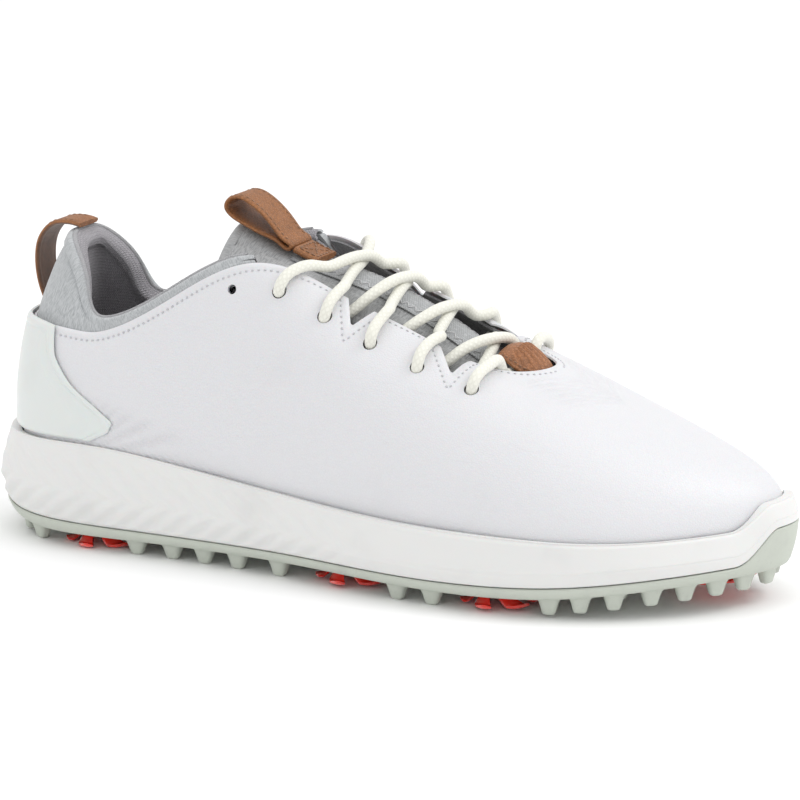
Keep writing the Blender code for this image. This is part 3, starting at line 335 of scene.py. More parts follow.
def solid_sheet(name, outer, inner, looks, body, replaces=(), wrap=False, keep=None, sharp=45):
    """A closed sheet between two grids. looks are those of its outer face, inner face and edges."""
    outer = np.asarray(outer, float)
    inner = np.asarray(inner, float)
    rows, cols = outer.shape[:2]
    top = grid_quads(rows, cols, wrap)
    strips = top.shape[0]
    kept = np.ones(top.shape[:2], bool) if keep is None else keep
    back = rows * cols
    around = np.zeros((strips + 2, cols + 1), bool)
    around[1:-1, 1:-1] = kept
    if wrap:
        around[0, 1:-1] = kept[-1]
        around[-1, 1:-1] = kept[0]
    walls = []
    for di, dj, a, b in ((0, -1, 3, 0), (0, 1, 1, 2), (-1, 0, 0, 1), (1, 0, 2, 3)):
        beside = around[1 + di : 1 + di + strips, 1 + dj : 1 + dj + cols - 1]
        edge = top[kept & ~beside]
        walls.append(np.stack([edge[:, b], edge[:, a], edge[:, a] + back, edge[:, b] + back], 1))
    walls = np.concatenate(walls)
    front = top[kept]
    faces = np.concatenate([front, front[:, ::-1] + back, walls])
    points = np.concatenate([outer.reshape(-1, 3), inner.reshape(-1, 3)])
    corner = points[faces]
    size = np.einsum("ij,ij->i", corner[:, 0], np.cross(corner[:, 1], corner[:, 2]))
    size += np.einsum("ij,ij->i", corner[:, 0], np.cross(corner[:, 2], corner[:, 3]))
    if size.sum() < 0:
        faces = faces[:, ::-1]
    uv = arc_lengths(outer).reshape(-1, 2)
    uv = np.concatenate([uv, uv])
    loops = uv[faces]
    if wrap:
        length = uv[:, 0].max() + np.linalg.norm(outer[0] - outer[-1], axis=1).mean()
        row = (faces % back) // cols
        crossing = (row.max(1) == rows - 1) & (row.min(1) == 0)
        loops[..., 0] += np.where(crossing[:, None] & (row == 0), length, 0)
    used = np.unique(faces)
    index = np.zeros(len(points), int)
    index[used] = np.arange(len(used))
    looks = looks if isinstance(looks, (list, tuple)) else [looks] * 3
    which = np.repeat([0, 1, 2], [len(front), len(front), len(walls)])
    return make(name, points[used], index[faces], looks, body, replaces, loops.reshape(-1, 2),
                which, sharp)


def frames(path):
    """Two directions across a path at each of its points, carried along without twist."""
    along = unit(np.gradient(path, axis=0))
    first = [unit(np.cross(along[0], (0.3, 0.9, 0.31)))]
    for a in along[1:]:
        first.append(unit(first[-1] - a * np.dot(first[-1], a)))
    first = np.array(first)
    return first, np.cross(along, first)


def tube(path, radii, sides):
    """Rings of points round a path. radii has one number a point, or one a point and side."""
    path = np.asarray(path, float)
    a, b = frames(path)
    angle = np.arange(sides) * 2 * math.pi / sides
    ringed = a[:, None] * np.cos(angle)[:, None] + b[:, None] * np.sin(angle)[:, None]
    radii = np.asarray(radii, float)
    radii = radii[:, None] if radii.ndim == 1 else radii
    return path[:, None] + ringed * radii[..., None]


def rod(name, path, radii, sides, look, body, replaces=()):
    """A round rod along a path, closed flat at both ends. The radii may change round it."""
    grid = tube(path, radii, sides)
    count = len(grid)
    ends = [count * sides, count * sides + 1]
    points = np.concatenate([grid.reshape(-1, 3), [path[0], path[-1]]])
    faces = ring_quads(count, sides)[:, ::-1].tolist()
    for j in range(sides):
        k = (j + 1) % sides
        faces.append((ends[0], j, k))
        faces.append((ends[1], (count - 1) * sides + k, (count - 1) * sides + j))
    run = run_of(path)
    uv = np.stack([np.repeat(run, sides), np.tile(np.arange(sides) * 12.0 / sides, count)], 1)
    uv = np.concatenate([uv, [[0, 0], [run[-1], 0]]])
    return make(name, points, faces, look, body, replaces, uv)


def joined(name, bodies, look, body, replaces=(), sharp=None):
    """Many small closed bodies, each its points and faces, as one piece."""
    points = []
    faces = []
    for body_points, body_faces in bodies:
        start = len(points)
        points += [tuple(p) for p in body_points]
        faces += [tuple(start + i for i in face) for face in body_faces]
    return make(name, points, faces, look, body, replaces, sharp=sharp)


def bead(start, end, up, width, height, sides=8):
    """A stitch: a short rounded bead from start to end, lying on the surface."""
    start, end, up = [np.asarray(v, float) for v in (start, end, up)]
    along = end - start
    across = unit(np.cross(along, up))
    points = []
    for f, size in ((0.0, 0.35), (0.14, 0.85), (0.5, 1.0), (0.86, 0.85), (1.0, 0.35)):
        middle = start + along * f + up * (height * (size - 0.6))
        for k in range(sides):
            angle = 2 * math.pi * k / sides
            points.append(middle + across * math.cos(angle) * width * size
                          + up * math.sin(angle) * height * size)
    caps = [tuple(reversed(range(sides))), tuple(range(4 * sides, 5 * sides))]
    return points, caps + ring_quads(5, sides).tolist()


def resample(path, step):
    """The path with points about one step apart."""
    path = np.asarray(path, float)
    length = run_of(path)
    places = np.linspace(0, length[-1], max(2, int(round(length[-1] / step)) + 1))
    return np.stack([np.interp(places, length, path[:, k]) for k in range(3)], 1)


def rounded(path, rounds=2):
    """Chaikin corner cutting, with the two ends kept."""
    path = np.asarray(path, float)
    for _ in range(rounds):
        q = path[:-1] * 0.75 + path[1:] * 0.25
        r = path[:-1] * 0.25 + path[1:] * 0.75
        path = np.concatenate([path[:1], np.stack([q, r], 1).reshape(-1, 3), path[-1:]])
    return path


def filled_rings(name, rings, look, body, replaces=(), inner=24, sharp=None,
                 crown=lambda share: 0.0):
    """Stacked closed rings, with the first and last filled across, the last one raised by crown."""
    count = len(rings[0])
    points = [p for one in rings for p in one]
    faces = ring_quads(len(rings), count).tolist()
    for first, flip in ((0, False), ((len(rings) - 1) * count, True)):
        rows = []
        for i in range(1, count // 2):
            a, b = first + i, first + count - i
            row = [a]
            for w in range(1, inner + 1):
                f = w / (inner + 1)
                row.append(len(points))
                middle = points[a] * (1 - f) + points[b] * f
                if flip:
                    middle = middle + crown(f)
                points.append(middle)
            rows.append(row + [b])
        made = []
        for low, high in zip(rows, rows[1:]):
            for w in range(inner + 1):
                made.append((low[w], low[w + 1], high[w + 1], high[w]))
        for w in range(inner + 1):
            made.append((first, rows[0][w + 1], rows[0][w]))
            made.append((first + count // 2, rows[-1][w], rows[-1][w + 1]))
        faces += [tuple(reversed(f)) for f in made] if flip else made
    return make(name, np.array(points), faces, look, body, replaces, sharp=sharp)


# ---------------------------------------------------------------- materials


class Field:
    """A number that varies over a surface: the output of a shader node. Arithmetic adds Math nodes."""

    def __init__(self, tree, socket):
        self.tree = tree
        self.socket = socket

    def math(self, operation, *others):
        node = self.tree.nodes.new("ShaderNodeMath")
        node.operation = operation
        for place, value in zip(node.inputs, (self, *others)):
            if isinstance(value, Field):
                self.tree.links.new(value.socket, place)
            else:
                place.default_value = value
        return Field(self.tree, node.outputs[0])

    def __add__(self, other):
        return self.math("ADD", other)

    def __sub__(self, other):
        return self.math("SUBTRACT", other)

    def __mul__(self, other):
        return self.math("MULTIPLY", other)

    def wave(self, length):
        """0 to 1 and back in each length."""
        return (self * (2 * math.pi / length)).math("SINE") * 0.5 + 0.5

    def zigzag(self, length):
        """0 to 1 and back in each length, in straight lines."""
        return ((self * (1 / length)).math("FRACT") * 2 - 1).math("ABSOLUTE")

    def between(self, low, high):
        """0 below low, 1 above high and smooth between them. With low above high it falls."""
        node = self.tree.nodes.new("ShaderNodeMapRange")
        node.interpolation_type = "SMOOTHSTEP"
        self.tree.links.new(self.socket, node.inputs["Value"])
        ends = (low, high) if low < high else (high, low)
        node.inputs["From Min"].default_value, node.inputs["From Max"].default_value = ends
        if low > high:
            node.inputs["To Min"].default_value = 1.0
            node.inputs["To Max"].default_value = 0.0
        return Field(self.tree, node.outputs["Result"])


class Look:
    """A material on the Principled shader, built up from colours, roughness and bump."""

    def __init__(self, name, color, rough, **fixed):
        self.material = bpy.data.materials.new(name)
        self.material.use_nodes = True
        self.tree = self.material.node_tree
        self.shader = self.tree.nodes["Principled BSDF"]
        self.shader.inputs["Base Color"].default_value = (*color, 1)
        self.shader.inputs["Roughness"].default_value = rough
        for socket, value in fixed.items():
            self.shader.inputs[socket.replace("_", " ")].default_value = value
        self.color = color
        self.top = None
        self.last_bump = None

    def place(self, flat):
        """Coordinates in mm: along and up the surface if flat, otherwise in space."""
        if flat:
            node = self.tree.nodes.new("ShaderNodeUVMap")
            node.uv_map = "surface"
            return node.outputs["UV"]
        node = self.tree.nodes.new("ShaderNodeTexCoord")
        scale = self.tree.nodes.new("ShaderNodeVectorMath")
        scale.operation = "SCALE"
        scale.inputs["Scale"].default_value = 1000
        self.tree.links.new(node.outputs["Object"], scale.inputs[0])
        return scale.outputs[0]

    def axis(self, number, flat=True):
        node = self.tree.nodes.new("ShaderNodeSeparateXYZ")
        self.tree.links.new(self.place(flat), node.inputs[0])
        return Field(self.tree, node.outputs[number])

    def stretched(self, flat, stretch, turn):
        node = self.tree.nodes.new("ShaderNodeMapping")
        node.inputs["Scale"].default_value = [1 / s for s in stretch]
        node.inputs["Rotation"].default_value = (0, 0, math.radians(turn))
        self.tree.links.new(self.place(flat), node.inputs["Vector"])
        return node.outputs["Vector"]

    def noise(self, size, detail=3.0, flat=False, stretch=(1, 1, 1), turn=0.0):
        """Soft random patches about this many mm across."""
        node = self.tree.nodes.new("ShaderNodeTexNoise")
        node.inputs["Scale"].default_value = 1 / size
        node.inputs["Detail"].default_value = detail
        self.tree.links.new(self.stretched(flat, stretch, turn), node.inputs["Vector"])
        return Field(self.tree, node.outputs["Fac"])

    def cells(self, size):
        """Distance from the edges of random cells, in cells."""
        node = self.tree.nodes.new("ShaderNodeTexVoronoi")
        node.feature = "DISTANCE_TO_EDGE"
        node.inputs["Scale"].default_value = 1 / size
        self.tree.links.new(self.place(False), node.inputs["Vector"])
        return Field(self.tree, node.outputs["Distance"])

    def paint(self, color, amount):
        """Lays a colour over what is there, as much as the field says."""
        node = self.tree.nodes.new("ShaderNodeMix")
        node.data_type = "RGBA"
        node.inputs[6].default_value = (*self.color, 1)
        if self.top is not None:
            self.tree.links.new(self.top, node.inputs[6])
        node.inputs[7].default_value = (*color, 1)
        self.tree.links.new(amount.socket, node.inputs[0])
        self.top = node.outputs[2]
        self.tree.links.new(self.top, self.shader.inputs["Base Color"])

    def roughness(self, low, high, amount):
        self.tree.links.new((amount * (high - low) + low).socket, self.shader.inputs["Roughness"])

    def bump(self, field, depth):
        """Raises the surface by this many mm where the field is 1."""
        node = self.tree.nodes.new("ShaderNodeBump")
        node.inputs["Distance"].default_value = depth / 1000
        node.inputs["Strength"].default_value = 1.0
        self.tree.links.new(field.socket, node.inputs["Height"])
        if self.last_bump is not None:
            self.tree.links.new(self.last_bump, node.inputs["Normal"])
        self.last_bump = node.outputs[0]
        self.tree.links.new(self.last_bump, self.shader.inputs["Normal"])


def white_leather():
    look = Look("smooth_leather", (0.67, 0.67, 0.69), 0.44, Coat_Weight=0.08, Coat_Roughness=0.35,
                Subsurface_Weight=0.05, Subsurface_Scale=0.002)
    pores = look.cells(0.9).between(0.0, 0.25)
    creases = look.noise(16, 4, stretch=(1, 1, 0.45)).between(0.42, 0.5)
    grime = look.noise(40, 5).between(0.55, 0.85)
    look.paint((0.63, 0.63, 0.65), grime)
    look.paint((0.58, 0.58, 0.60), pores.between(0.5, 0.0) * 0.25)
    look.roughness(0.36, 0.52, look.noise(9, 4))
    look.bump(creases, 0.05)
    look.bump(pores, 0.035)
    look.bump(look.noise(1.6, 4), 0.04)
    return look.material


def clip_plastic():
    look = Look("clip_plastic", (0.66, 0.685, 0.67), 0.3, Coat_Weight=0.12, Coat_Roughness=0.2,
                Subsurface_Weight=0.12, Subsurface_Scale=0.003)
    look.paint((0.61, 0.635, 0.62), look.noise(30, 3).between(0.5, 0.8))
    look.roughness(0.26, 0.42, look.noise(6, 5))
    look.bump(look.noise(0.5, 3), 0.015)
    return look.material


def brushed_knit(name, dark, light, turn=35.0):
    """Soft knit with a brushed face: fine slanted streaks of two greys."""
    look = Look(name, light, 0.95, Sheen_Weight=0.35, Sheen_Roughness=0.5)
    streaks = look.noise(0.75, 4, flat=True, stretch=(0.5, 3.2, 1), turn=turn)
    look.paint(dark, streaks.between(0.42, 0.62) * 0.8)
    look.paint([c * 1.25 for c in light], look.noise(0.5, 2, flat=True, stretch=(0.6, 2.4, 1),
                                                     turn=turn).between(0.62, 0.74) * 0.6)
    look.paint([c * 0.85 for c in light], look.noise(18, 3).between(0.45, 0.75) * 0.35)
    look.bump(streaks, 0.28)
    look.bump(look.noise(0.35, 3), 0.12)
    return look.material


def stitch_knit(name, dark, light, wale=1.15, course=0.85, heather=0.75):
    """Knit whose V-shaped stitches show, in mixed yarns."""
    look = Look(name, light, 0.92, Sheen_Weight=0.25, Sheen_Roughness=0.5)
    across, along = look.axis(1), look.axis(0)
    lean = across.zigzag(wale)
    loops = (along + lean * (course * 0.75)).wave(course)
    ribs = lean.between(0.0, 0.35)
    look.paint(dark, look.noise(0.55, 3, flat=True, stretch=(2.6, 1, 1)).between(0.4, 0.62) * heather)
    look.paint([c * 0.55 for c in dark], (ribs * loops).between(0.35, 0.0) * 0.55)
    look.paint([c * 1.2 for c in light], look.noise(1.1, 2, flat=True,
                                                    stretch=(2.2, 1, 1)).between(0.6, 0.72) * 0.5)
    look.bump(ribs * loops, 0.26)
    look.bump(look.noise(0.4, 2), 0.06)
    return look.material


def brown_leather(name, color, rough=0.55):
    """Pebbled brown leather with darker flecks and pale rubbed patches."""
    look = Look(name, color, rough, Coat_Weight=0.06, Coat_Roughness=0.45)
    grain = look.cells(1.1).between(0.0, 0.32)
    look.paint([c * 0.62 for c in color], look.noise(3.2, 5).between(0.52, 0.68) * 0.65)
    look.paint([min(1, c * 1.45) for c in color], look.noise(5.5, 5).between(0.56, 0.74) * 0.5)
    look.paint([c * 0.4 for c in color], grain.between(0.55, 0.0) * 0.5)
    look.roughness(rough - 0.1, rough + 0.16, look.noise(4, 4))
    look.bump(grain, 0.13)
    look.bump(look.noise(0.5, 3), 0.06)
    return look.material


def suede(name, color):
    look = Look(name, color, 0.97, Sheen_Weight=0.4, Sheen_Roughness=0.6)
    look.paint([c * 0.6 for c in color], look.noise(2.4, 4).between(0.45, 0.7) * 0.6)
    look.bump(look.noise(0.3, 4), 0.12)
    return look.material


def ribbon_weave():
    look = Look("ribbon_weave", (0.40, 0.41, 0.42), 0.85, Sheen_Weight=0.2, Sheen_Roughness=0.4)
    across, along = look.axis(1), look.axis(0)
    ribs = (along + across * 0.5).wave(0.9) * (along - across * 0.5).wave(0.9)
    look.paint((0.24, 0.245, 0.25), ribs.between(0.3, 0.0) * 0.6)
    look.paint((0.50, 0.51, 0.52), look.noise(0.8, 3, flat=True, stretch=(3, 1, 1)).between(0.5, 0.7))
    look.bump(ribs, 0.16)
    return look.material


def braid():
    """The lace: two sets of yarns crossing as they wind round."""
    look = Look("lace_braid", (0.80, 0.795, 0.72), 0.85, Sheen_Weight=0.25, Sheen_Roughness=0.5)
    along, around = look.axis(0), look.axis(1)
    one = (around * 2 + along * 2).wave(4.0)
    two = (around * 2 - along * 2).wave(4.0)
    yarns = (one * two).between(0.02, 0.7)
    look.paint((0.66, 0.65, 0.58), yarns.between(0.35, 0.0) * 0.45)
    look.paint((0.74, 0.73, 0.65), look.noise(14, 4).between(0.55, 0.8) * 0.5)
    look.bump(yarns, 0.07)
    look.bump(look.noise(0.3, 2), 0.03)
    return look.material


def foam_plastic(name, color, rough=0.55, grain=0.03):
    """Moulded foam: a fine matt skin with faint scuffs."""
    look = Look(name, color, rough, Subsurface_Weight=0.08, Subsurface_Scale=0.002)
    look.paint([c * 0.9 for c in color], look.noise(22, 5).between(0.5, 0.8) * 0.6)
    look.roughness(rough - 0.08, rough + 0.12, look.noise(7, 4))
    look.bump(look.noise(0.6, 4), grain)
    return look.material


def rubber():
    look = Look("tread_rubber", (0.50, 0.53, 0.47), 0.6)
    look.paint((0.42, 0.435, 0.40), look.noise(12, 5).between(0.5, 0.8) * 0.55)
    look.paint((0.38, 0.385, 0.36), look.noise(1.2, 3).between(0.62, 0.72) * 0.25)
    look.roughness(0.5, 0.72, look.noise(5, 4))
    look.bump(look.noise(0.7, 4), 0.05)
    return look.material


def red_plastic():
    look = Look("clear_red_plastic", (0.85, 0.035, 0.02), 0.16, Transmission_Weight=0.2, IOR=1.5,
                Coat_Weight=0.35, Coat_Roughness=0.12)
    look.paint((0.6, 0.015, 0.01), look.noise(3, 3).between(0.5, 0.75) * 0.6)
    look.roughness(0.12, 0.26, look.noise(2.2, 4))
    look.bump(look.noise(1.5, 3), 0.02)
    return look.material


def plain_plastic(name, color, rough):
    look = Look(name, color, rough)
    look.paint([c * 0.7 for c in color], look.noise(6, 4).between(0.5, 0.75) * 0.5)
    look.roughness(rough - 0.06, rough + 0.14, look.noise(3, 4))
    look.bump(look.noise(0.5, 3), 0.02)
    return look.material


def board_fibre(name, color):
    look = Look(name, color, 0.9)
    fibres = look.noise(0.7, 4, stretch=(3, 1, 1), turn=30)
    look.paint([c * 0.75 for c in color], fibres.between(0.45, 0.65) * 0.6)
    look.bump(fibres, 0.08)
    return look.material


def sewing_thread(name, color):
    look = Look(name, color, 0.6, Sheen_Weight=0.2)
    twist = (look.axis(0, False) + look.axis(2, False)).wave(0.45)
    look.paint([c * 0.6 for c in color], twist.between(0.4, 0.0) * 0.6)
    look.bump(twist, 0.05)
    return look.material


LOOKS = {
    "leather": white_leather(),
    "clip": clip_plastic(),
    "collar": brushed_knit("collar_brushed_knit", (0.30, 0.315, 0.325), (0.47, 0.485, 0.495)),
    "piping": stitch_knit("piping_knit", (0.55, 0.55, 0.57), (0.74, 0.74, 0.76), 0.8, 0.7, 0.3),
    "lining": stitch_knit("lining_mesh", (0.30, 0.285, 0.31), (0.44, 0.425, 0.45), 1.3, 1.0, 0.5),
    "tongue": brushed_knit("tongue_brushed_knit", (0.24, 0.245, 0.25), (0.41, 0.415, 0.42), -30),
    "backing": brushed_knit("backing_felt", (0.12, 0.12, 0.125), (0.2, 0.2, 0.21)),
    "ribbon": ribbon_weave(),
    "brown": brown_leather("pull_loop_leather", (0.31, 0.12, 0.036)),
    "suede": suede("pull_loop_suede", (0.15, 0.065, 0.03)),
    "keeper": brown_leather("keeper_leather", (0.36, 0.145, 0.055), 0.5),
    "lace": braid(),
    "foam": foam_plastic("soft_foam", (0.42, 0.42, 0.42), 0.9, 0.2),
    "midsole": foam_plastic("midsole_skin", (0.70, 0.70, 0.69), 0.5),
    "rubber": rubber(),
    "red": red_plastic(),
    "black": plain_plastic("black_nylon", (0.035, 0.035, 0.04), 0.38),
    "shank": plain_plastic("shank_plate_black", (0.03, 0.03, 0.032), 0.3),
    "aglet": plain_plastic("aglet_film", (0.7, 0.7, 0.68), 0.22),
    "board": board_fibre("strobel_fibre", (0.72, 0.70, 0.62)),
    "stiffener": board_fibre("stiffener_fibre", (0.68, 0.62, 0.5)),
    "insole": brushed_knit("insole_textile", (0.10, 0.10, 0.115), (0.19, 0.19, 0.215), 0),
    "thread_grey": sewing_thread("grey_thread", (0.53, 0.53, 0.55)),
    "thread_brown": sewing_thread("brown_thread", (0.24, 0.12, 0.06)),
    "thread_pale": sewing_thread("pale_thread", (0.55, 0.55, 0.56)),
}


# ---------------------------------------------------------------- holes and stitch rows in the upper


class Cut:
    """A hole through the upper. Its flat coordinates are mm along and up the surface from (u, t)."""

    def __init__(self, u, t, lines=None):
        step = 1e-3
        self.u, self.t = u, t
        self.radius = SPARE_RADIUS if t == SPARE_EYELET[1] else EYELET_RADIUS
        self.middle = point(u, t)
        by_u = (point(u + step, t) - point(u - step, t)) / (2 * step)
        by_t = (point(u, t + step) - point(u, t - step)) / (2 * step)
        self.along = unit(by_u)
        self.up = unit(by_t - self.along * np.dot(by_t, self.along))
        self.back = np.linalg.inv([[by_u @ self.along, by_t @ self.along],
                                   [by_u @ self.up, by_t @ self.up]])
        self.lines = None
        if lines is not None:
            corners = [self.flat(point(*corner)) for corner in lines]
            middle = (corners[0] + corners[1]) / 2
            self.lines = [(unit(c), np.sign(np.dot([-c[1], c[0]], middle))) for c in corners]

    def flat(self, points):
        return np.stack([(points - self.middle) @ self.along, (points - self.middle) @ self.up], -1)

    def place(self, flat):
        """(u, t) of a point given in flat coordinates."""
        at = np.array([self.u, self.t]) + flat @ self.back.T
        for _ in range(4):
            at = at + (flat - self.flat(point(at[..., 0], at[..., 1]))) @ self.back.T
        return at

    def distance(self, flat):
        """Distance outside the hole's edge: a round hole, or a V with a rounded foot."""
        if self.lines is None:
            return np.linalg.norm(flat, axis=-1) - self.radius
        sides = [-sign * (flat[..., 1] * c[0] - flat[..., 0] * c[1]) for c, sign in self.lines]
        apart = sides[0] - sides[1]
        return (sides[0] + sides[1] + np.sqrt(apart * apart + 0.5)) / 2

    def far(self, points):
        return np.linalg.norm(points - self.middle, axis=-1) > 32


def cuts_of(mirror):
    """The eyelets and notches of one side of the shoe."""
    found = []
    for u, t in EYELETS + [SPARE_EYELET]:
        found.append(Cut(18 - u if mirror else u, t))
    for foot, left, right in NOTCHES:
        ends = [(18 - u if mirror else u, t) for u, t in (left, right)]
        found.append(Cut(18 - foot[0] if mirror else foot[0], foot[1], ends))
    return found


def carve(u, t, cuts, wrap):
    """Moves grid points onto the outlines of the cuts. Returns which quads stay."""
    rows, cols = u.shape
    strips = rows if wrap else rows - 1
    keep = np.ones((strips, cols - 1), bool)
    ahead = (np.arange(strips) + 1) % rows
    for cut in cuts:
        places = point(u, t)
        flat = cut.flat(places)
        flat[cut.far(places)] = 1e3
        corners = [flat[:strips, :-1], flat[:strips, 1:], flat[ahead, 1:], flat[ahead, :-1]]
        gone = cut.distance(sum(corners) / 4) < 0
        gone &= np.all([c[..., 0] < 1e2 for c in corners], axis=0)
        touch_gone = np.zeros((rows, cols), bool)
        touch_kept = np.zeros((rows, cols), bool)
        for mark, quads in ((touch_gone, gone), (touch_kept, ~gone)):
            for row in (np.arange(strips), ahead):
                mark[row, :-1] |= quads
                mark[row, 1:] |= quads
        edge = touch_gone & (touch_kept | (np.arange(cols) == cols - 1)[None])
        edge &= np.abs(cut.distance(flat)) < 1.4
        here = flat[edge]
        step = 0.01
        slope = np.stack([cut.distance(here + [step, 0]) - cut.distance(here - [step, 0]),
                          cut.distance(here + [0, step]) - cut.distance(here - [0, step])], -1)
        slope /= np.maximum(np.linalg.norm(slope, axis=-1, keepdims=True), 1e-9)
        move = -(slope * cut.distance(here)[:, None]) @ cut.back.T
        u[edge] += move[:, 0]
        t[edge] += move[:, 1]
        keep &= ~gone
    return keep


def below_edge(u, distance):
    """Height t that lies this many mm below the leather's top edge."""
    top = LEATHER_EDGE(u)
    rise = np.linalg.norm(point(u, top) - point(u, top - 0.02), axis=-1) / 0.02
    return top - distance / rise


def edge_row(mirror, inward, start=0.0):
    """(u, t) along the leather's top edge and round its notches, this many mm inside it."""
    u = np.arange(start, 9.0, 0.01)
    u = 18 - u if mirror else u
    row = np.stack([u, below_edge(u, inward)], 1)
    for cut in [c for c in cuts_of(mirror) if c.lines is not None]:
        flat = cut.flat(point(row[:, 0], row[:, 1]))
        flat[cut.far(point(row[:, 0], row[:, 1]))] = 1e3
        inside = (cut.distance(flat) < inward) & (flat[:, 0] < 1e2)
        if not inside.any():
            continue
        first, last = np.flatnonzero(inside)[[0, -1]]
        notch = around_notch(cut, inward, row[first], row[last])
        row = np.concatenate([row[:first], notch, row[last + 1 :]])
    return row


def around_notch(cut, inward, start, end):
    """The part of an edge row that goes down one side of a notch, round its foot and up the other."""
    begin = cut.flat(point(*start))
    finish = cut.flat(point(*end))
    seat = unit(begin + finish) * 3.0
    begin_ray = math.atan2(*(begin - seat)[::-1])
    finish_ray = math.atan2(*(finish - seat)[::-1])
    turn = (finish_ray - begin_ray) % (2 * math.pi)
    downward = math.atan2(*(-seat)[::-1])
    if (downward - begin_ray) % (2 * math.pi) > turn:
        turn -= 2 * math.pi
    out = []
    for angle in begin_ray + np.linspace(0, 1, 80) * turn:
        way = np.array([math.cos(angle), math.sin(angle)])
        low, high = 0.0, 25.0
        for _ in range(30):
            middle = (low + high) / 2
            if cut.distance(seat + way * middle) < inward:
                low = middle
            else:
                high = middle
        out.append(seat + way * low)
    return cut.place(np.array(out))


def stitches(name, path, ups, look, body, pitch=2.3, length=1.0, width=0.34, height=0.22):
    """A row of stitches along a path in mm."""
    path = np.asarray(path, float)
    run = run_of(path)
    count = int(run[-1] / pitch)
    bodies = []
    for i in range(count):
        a, b = i * pitch + 0.3, i * pitch + 0.3 + length
        ends = [np.array([np.interp(s, run, path[:, k]) for k in range(3)]) for s in (a, b)]
        up = unit(np.array([np.interp((a + b) / 2, run, ups[:, k]) for k in range(3)]))
        bodies.append(bead(ends[0], ends[1], up, width, height))
    return joined(name, bodies, look, body)


# ---------------------------------------------------------------- the upper


def fine_stations(fine=1.0):
    """Stations all round, closer together where the eyelets and notches are."""
    half = np.concatenate([np.arange(0, 4.5, 0.045 * fine), np.arange(4.5, 7.95, 0.024 * fine),
                           np.arange(7.95, 8.99, 0.03 * fine)])
    return np.concatenate([half, [9.0], 18 - half[:0:-1]])


def ridges(x, pitch, sharpness=1.0):
    """Rounded ridges with this pitch, 0 in the valleys and 1 on the crests."""
    return (0.5 + 0.5 * np.cos(2 * math.pi * x / pitch)) ** sharpness


def embossing(u, t, points):
    """Relief of the leather in mm: vamp chevrons, the waves they run into, and ridges at the heel."""
    x, y, z = points[..., 0], points[..., 1], points[..., 2]
    off_centre = np.abs(y - 1.5)
    line = x + 0.62 * off_centre + 1.3 * np.sin(off_centre / 7.0)
    chevrons = smooth((line - 222) / 3) * smooth((246 - line) / 5)
    chevrons = chevrons * smooth((30 - off_centre) / 20) * smooth((x - 196) / 10)
    relief = 0.6 * chevrons * ridges(line - 222, 3.7, 0.8)
    s = side(u)
    top = 64 - (x - 35.6) * 0.24
    band = smooth((top - z) / 6) * smooth((118 - x) / 50) * smooth((x - 30) / 4)
    relief += 0.8 * band * ridges(x * 0.82 - z * 0.57, 2.75, 0.9)
    broad = np.sin((x * 0.35 + z * 0.9) / 5.2 + np.sin(x / 19)) * smooth((s - 3.6) / 0.6)
    relief += 0.14 * broad * smooth((7.6 - s) / 0.8) * smooth((0.7 - t) / 0.2)
    return relief


def notch_distance(points, cuts):
    """Distance in mm from the edge of the nearest notch."""
    far_off = 50.0
    nearest = np.full(points.shape[:-1], far_off)
    for cut in [c for c in cuts if c.lines is not None]:
        found = cut.distance(cut.flat(points))
        found[cut.far(points)] = far_off
        nearest = np.minimum(nearest, found)
    return nearest


def build_leather():
    u = fine_stations()
    v = np.concatenate([np.linspace(0, 0.6, 28)[:-1], np.linspace(0.6, 0.985, 40), [0.993, 1.0]])
    grid_t = v[None, :] * LEATHER_EDGE(u)[:, None]
    grid_u = np.repeat(u[:, None], len(v), 1)
    cuts = cuts_of(False) + cuts_of(True)
    keep = carve(grid_u, grid_t, cuts, True)
    bare = point(grid_u, grid_t)
    top = LEATHER_EDGE(grid_u)
    rise = np.linalg.norm(point(grid_u, top) - point(grid_u, top - 0.02), axis=-1) / 0.02
    from_edge = np.minimum((top - grid_t) * rise, notch_distance(bare, cuts))
    outer = np.full(grid_u.shape, LEATHER_OUT) + embossing(grid_u, grid_t, bare) - 0.25
    outer -= 0.16 * np.exp(-(((from_edge - STITCH_INSET) / 0.55) ** 2))
    outer -= 0.5 * np.exp(-((np.maximum(from_edge, 0) / 0.5) ** 2))
    solid_sheet("upper_leather_grained", shell(grid_u, grid_t, outer),
                shell(grid_u, grid_t, np.full(grid_u.shape, LEATHER_IN)), LOOKS["leather"], "shoe",
                ["upper_leather"], wrap=True, keep=keep)
    for mirror in (False, True):
        row = edge_row(mirror, STITCH_INSET, 2.12)
        path = shell(row[:, 0], row[:, 1], LEATHER_OUT - 0.3)
        name = "edge_stitching_medial" if mirror else "edge_stitching_lateral"
        stitches(name, path, normal(row[:, 0], row[:, 1]), LOOKS["thread_grey"], "shoe")


def dense_layer(name, u, low, high, inner, outer, look, replaces=(), wrap=False, rows=40,
                cuts=()):
    """A fine version of one layer of the upper."""
    v = np.linspace(0, 1, rows)
    low = np.zeros(len(u)) + low
    high = np.zeros(len(u)) + high
    grid_t = low[:, None] * (1 - v) + high[:, None] * v
    grid_u = np.repeat(np.asarray(u, float)[:, None], rows, 1)
    keep = carve(grid_u, grid_t, cuts, wrap) if cuts else None
    far = outer(grid_u, grid_t) if callable(outer) else np.full(grid_u.shape, outer)
    near = inner(grid_u, grid_t) if callable(inner) else np.full(grid_u.shape, inner)
    return solid_sheet(name, shell(grid_u, grid_t, far), shell(grid_u, grid_t, near), look, "shoe",
                       replaces, wrap, keep)


def lining_depth(u, t):
    """Depth of the lining's outer face, with the faint hollows of worn padding."""
    soft = 0.35 * np.sin(side(u) * 5.1 + 1.0) * np.sin(t * 17) * padding(u, t)
    return FOAM_DEPTH * padding(u, t) + 0.15 + np.maximum(soft, -0.1)


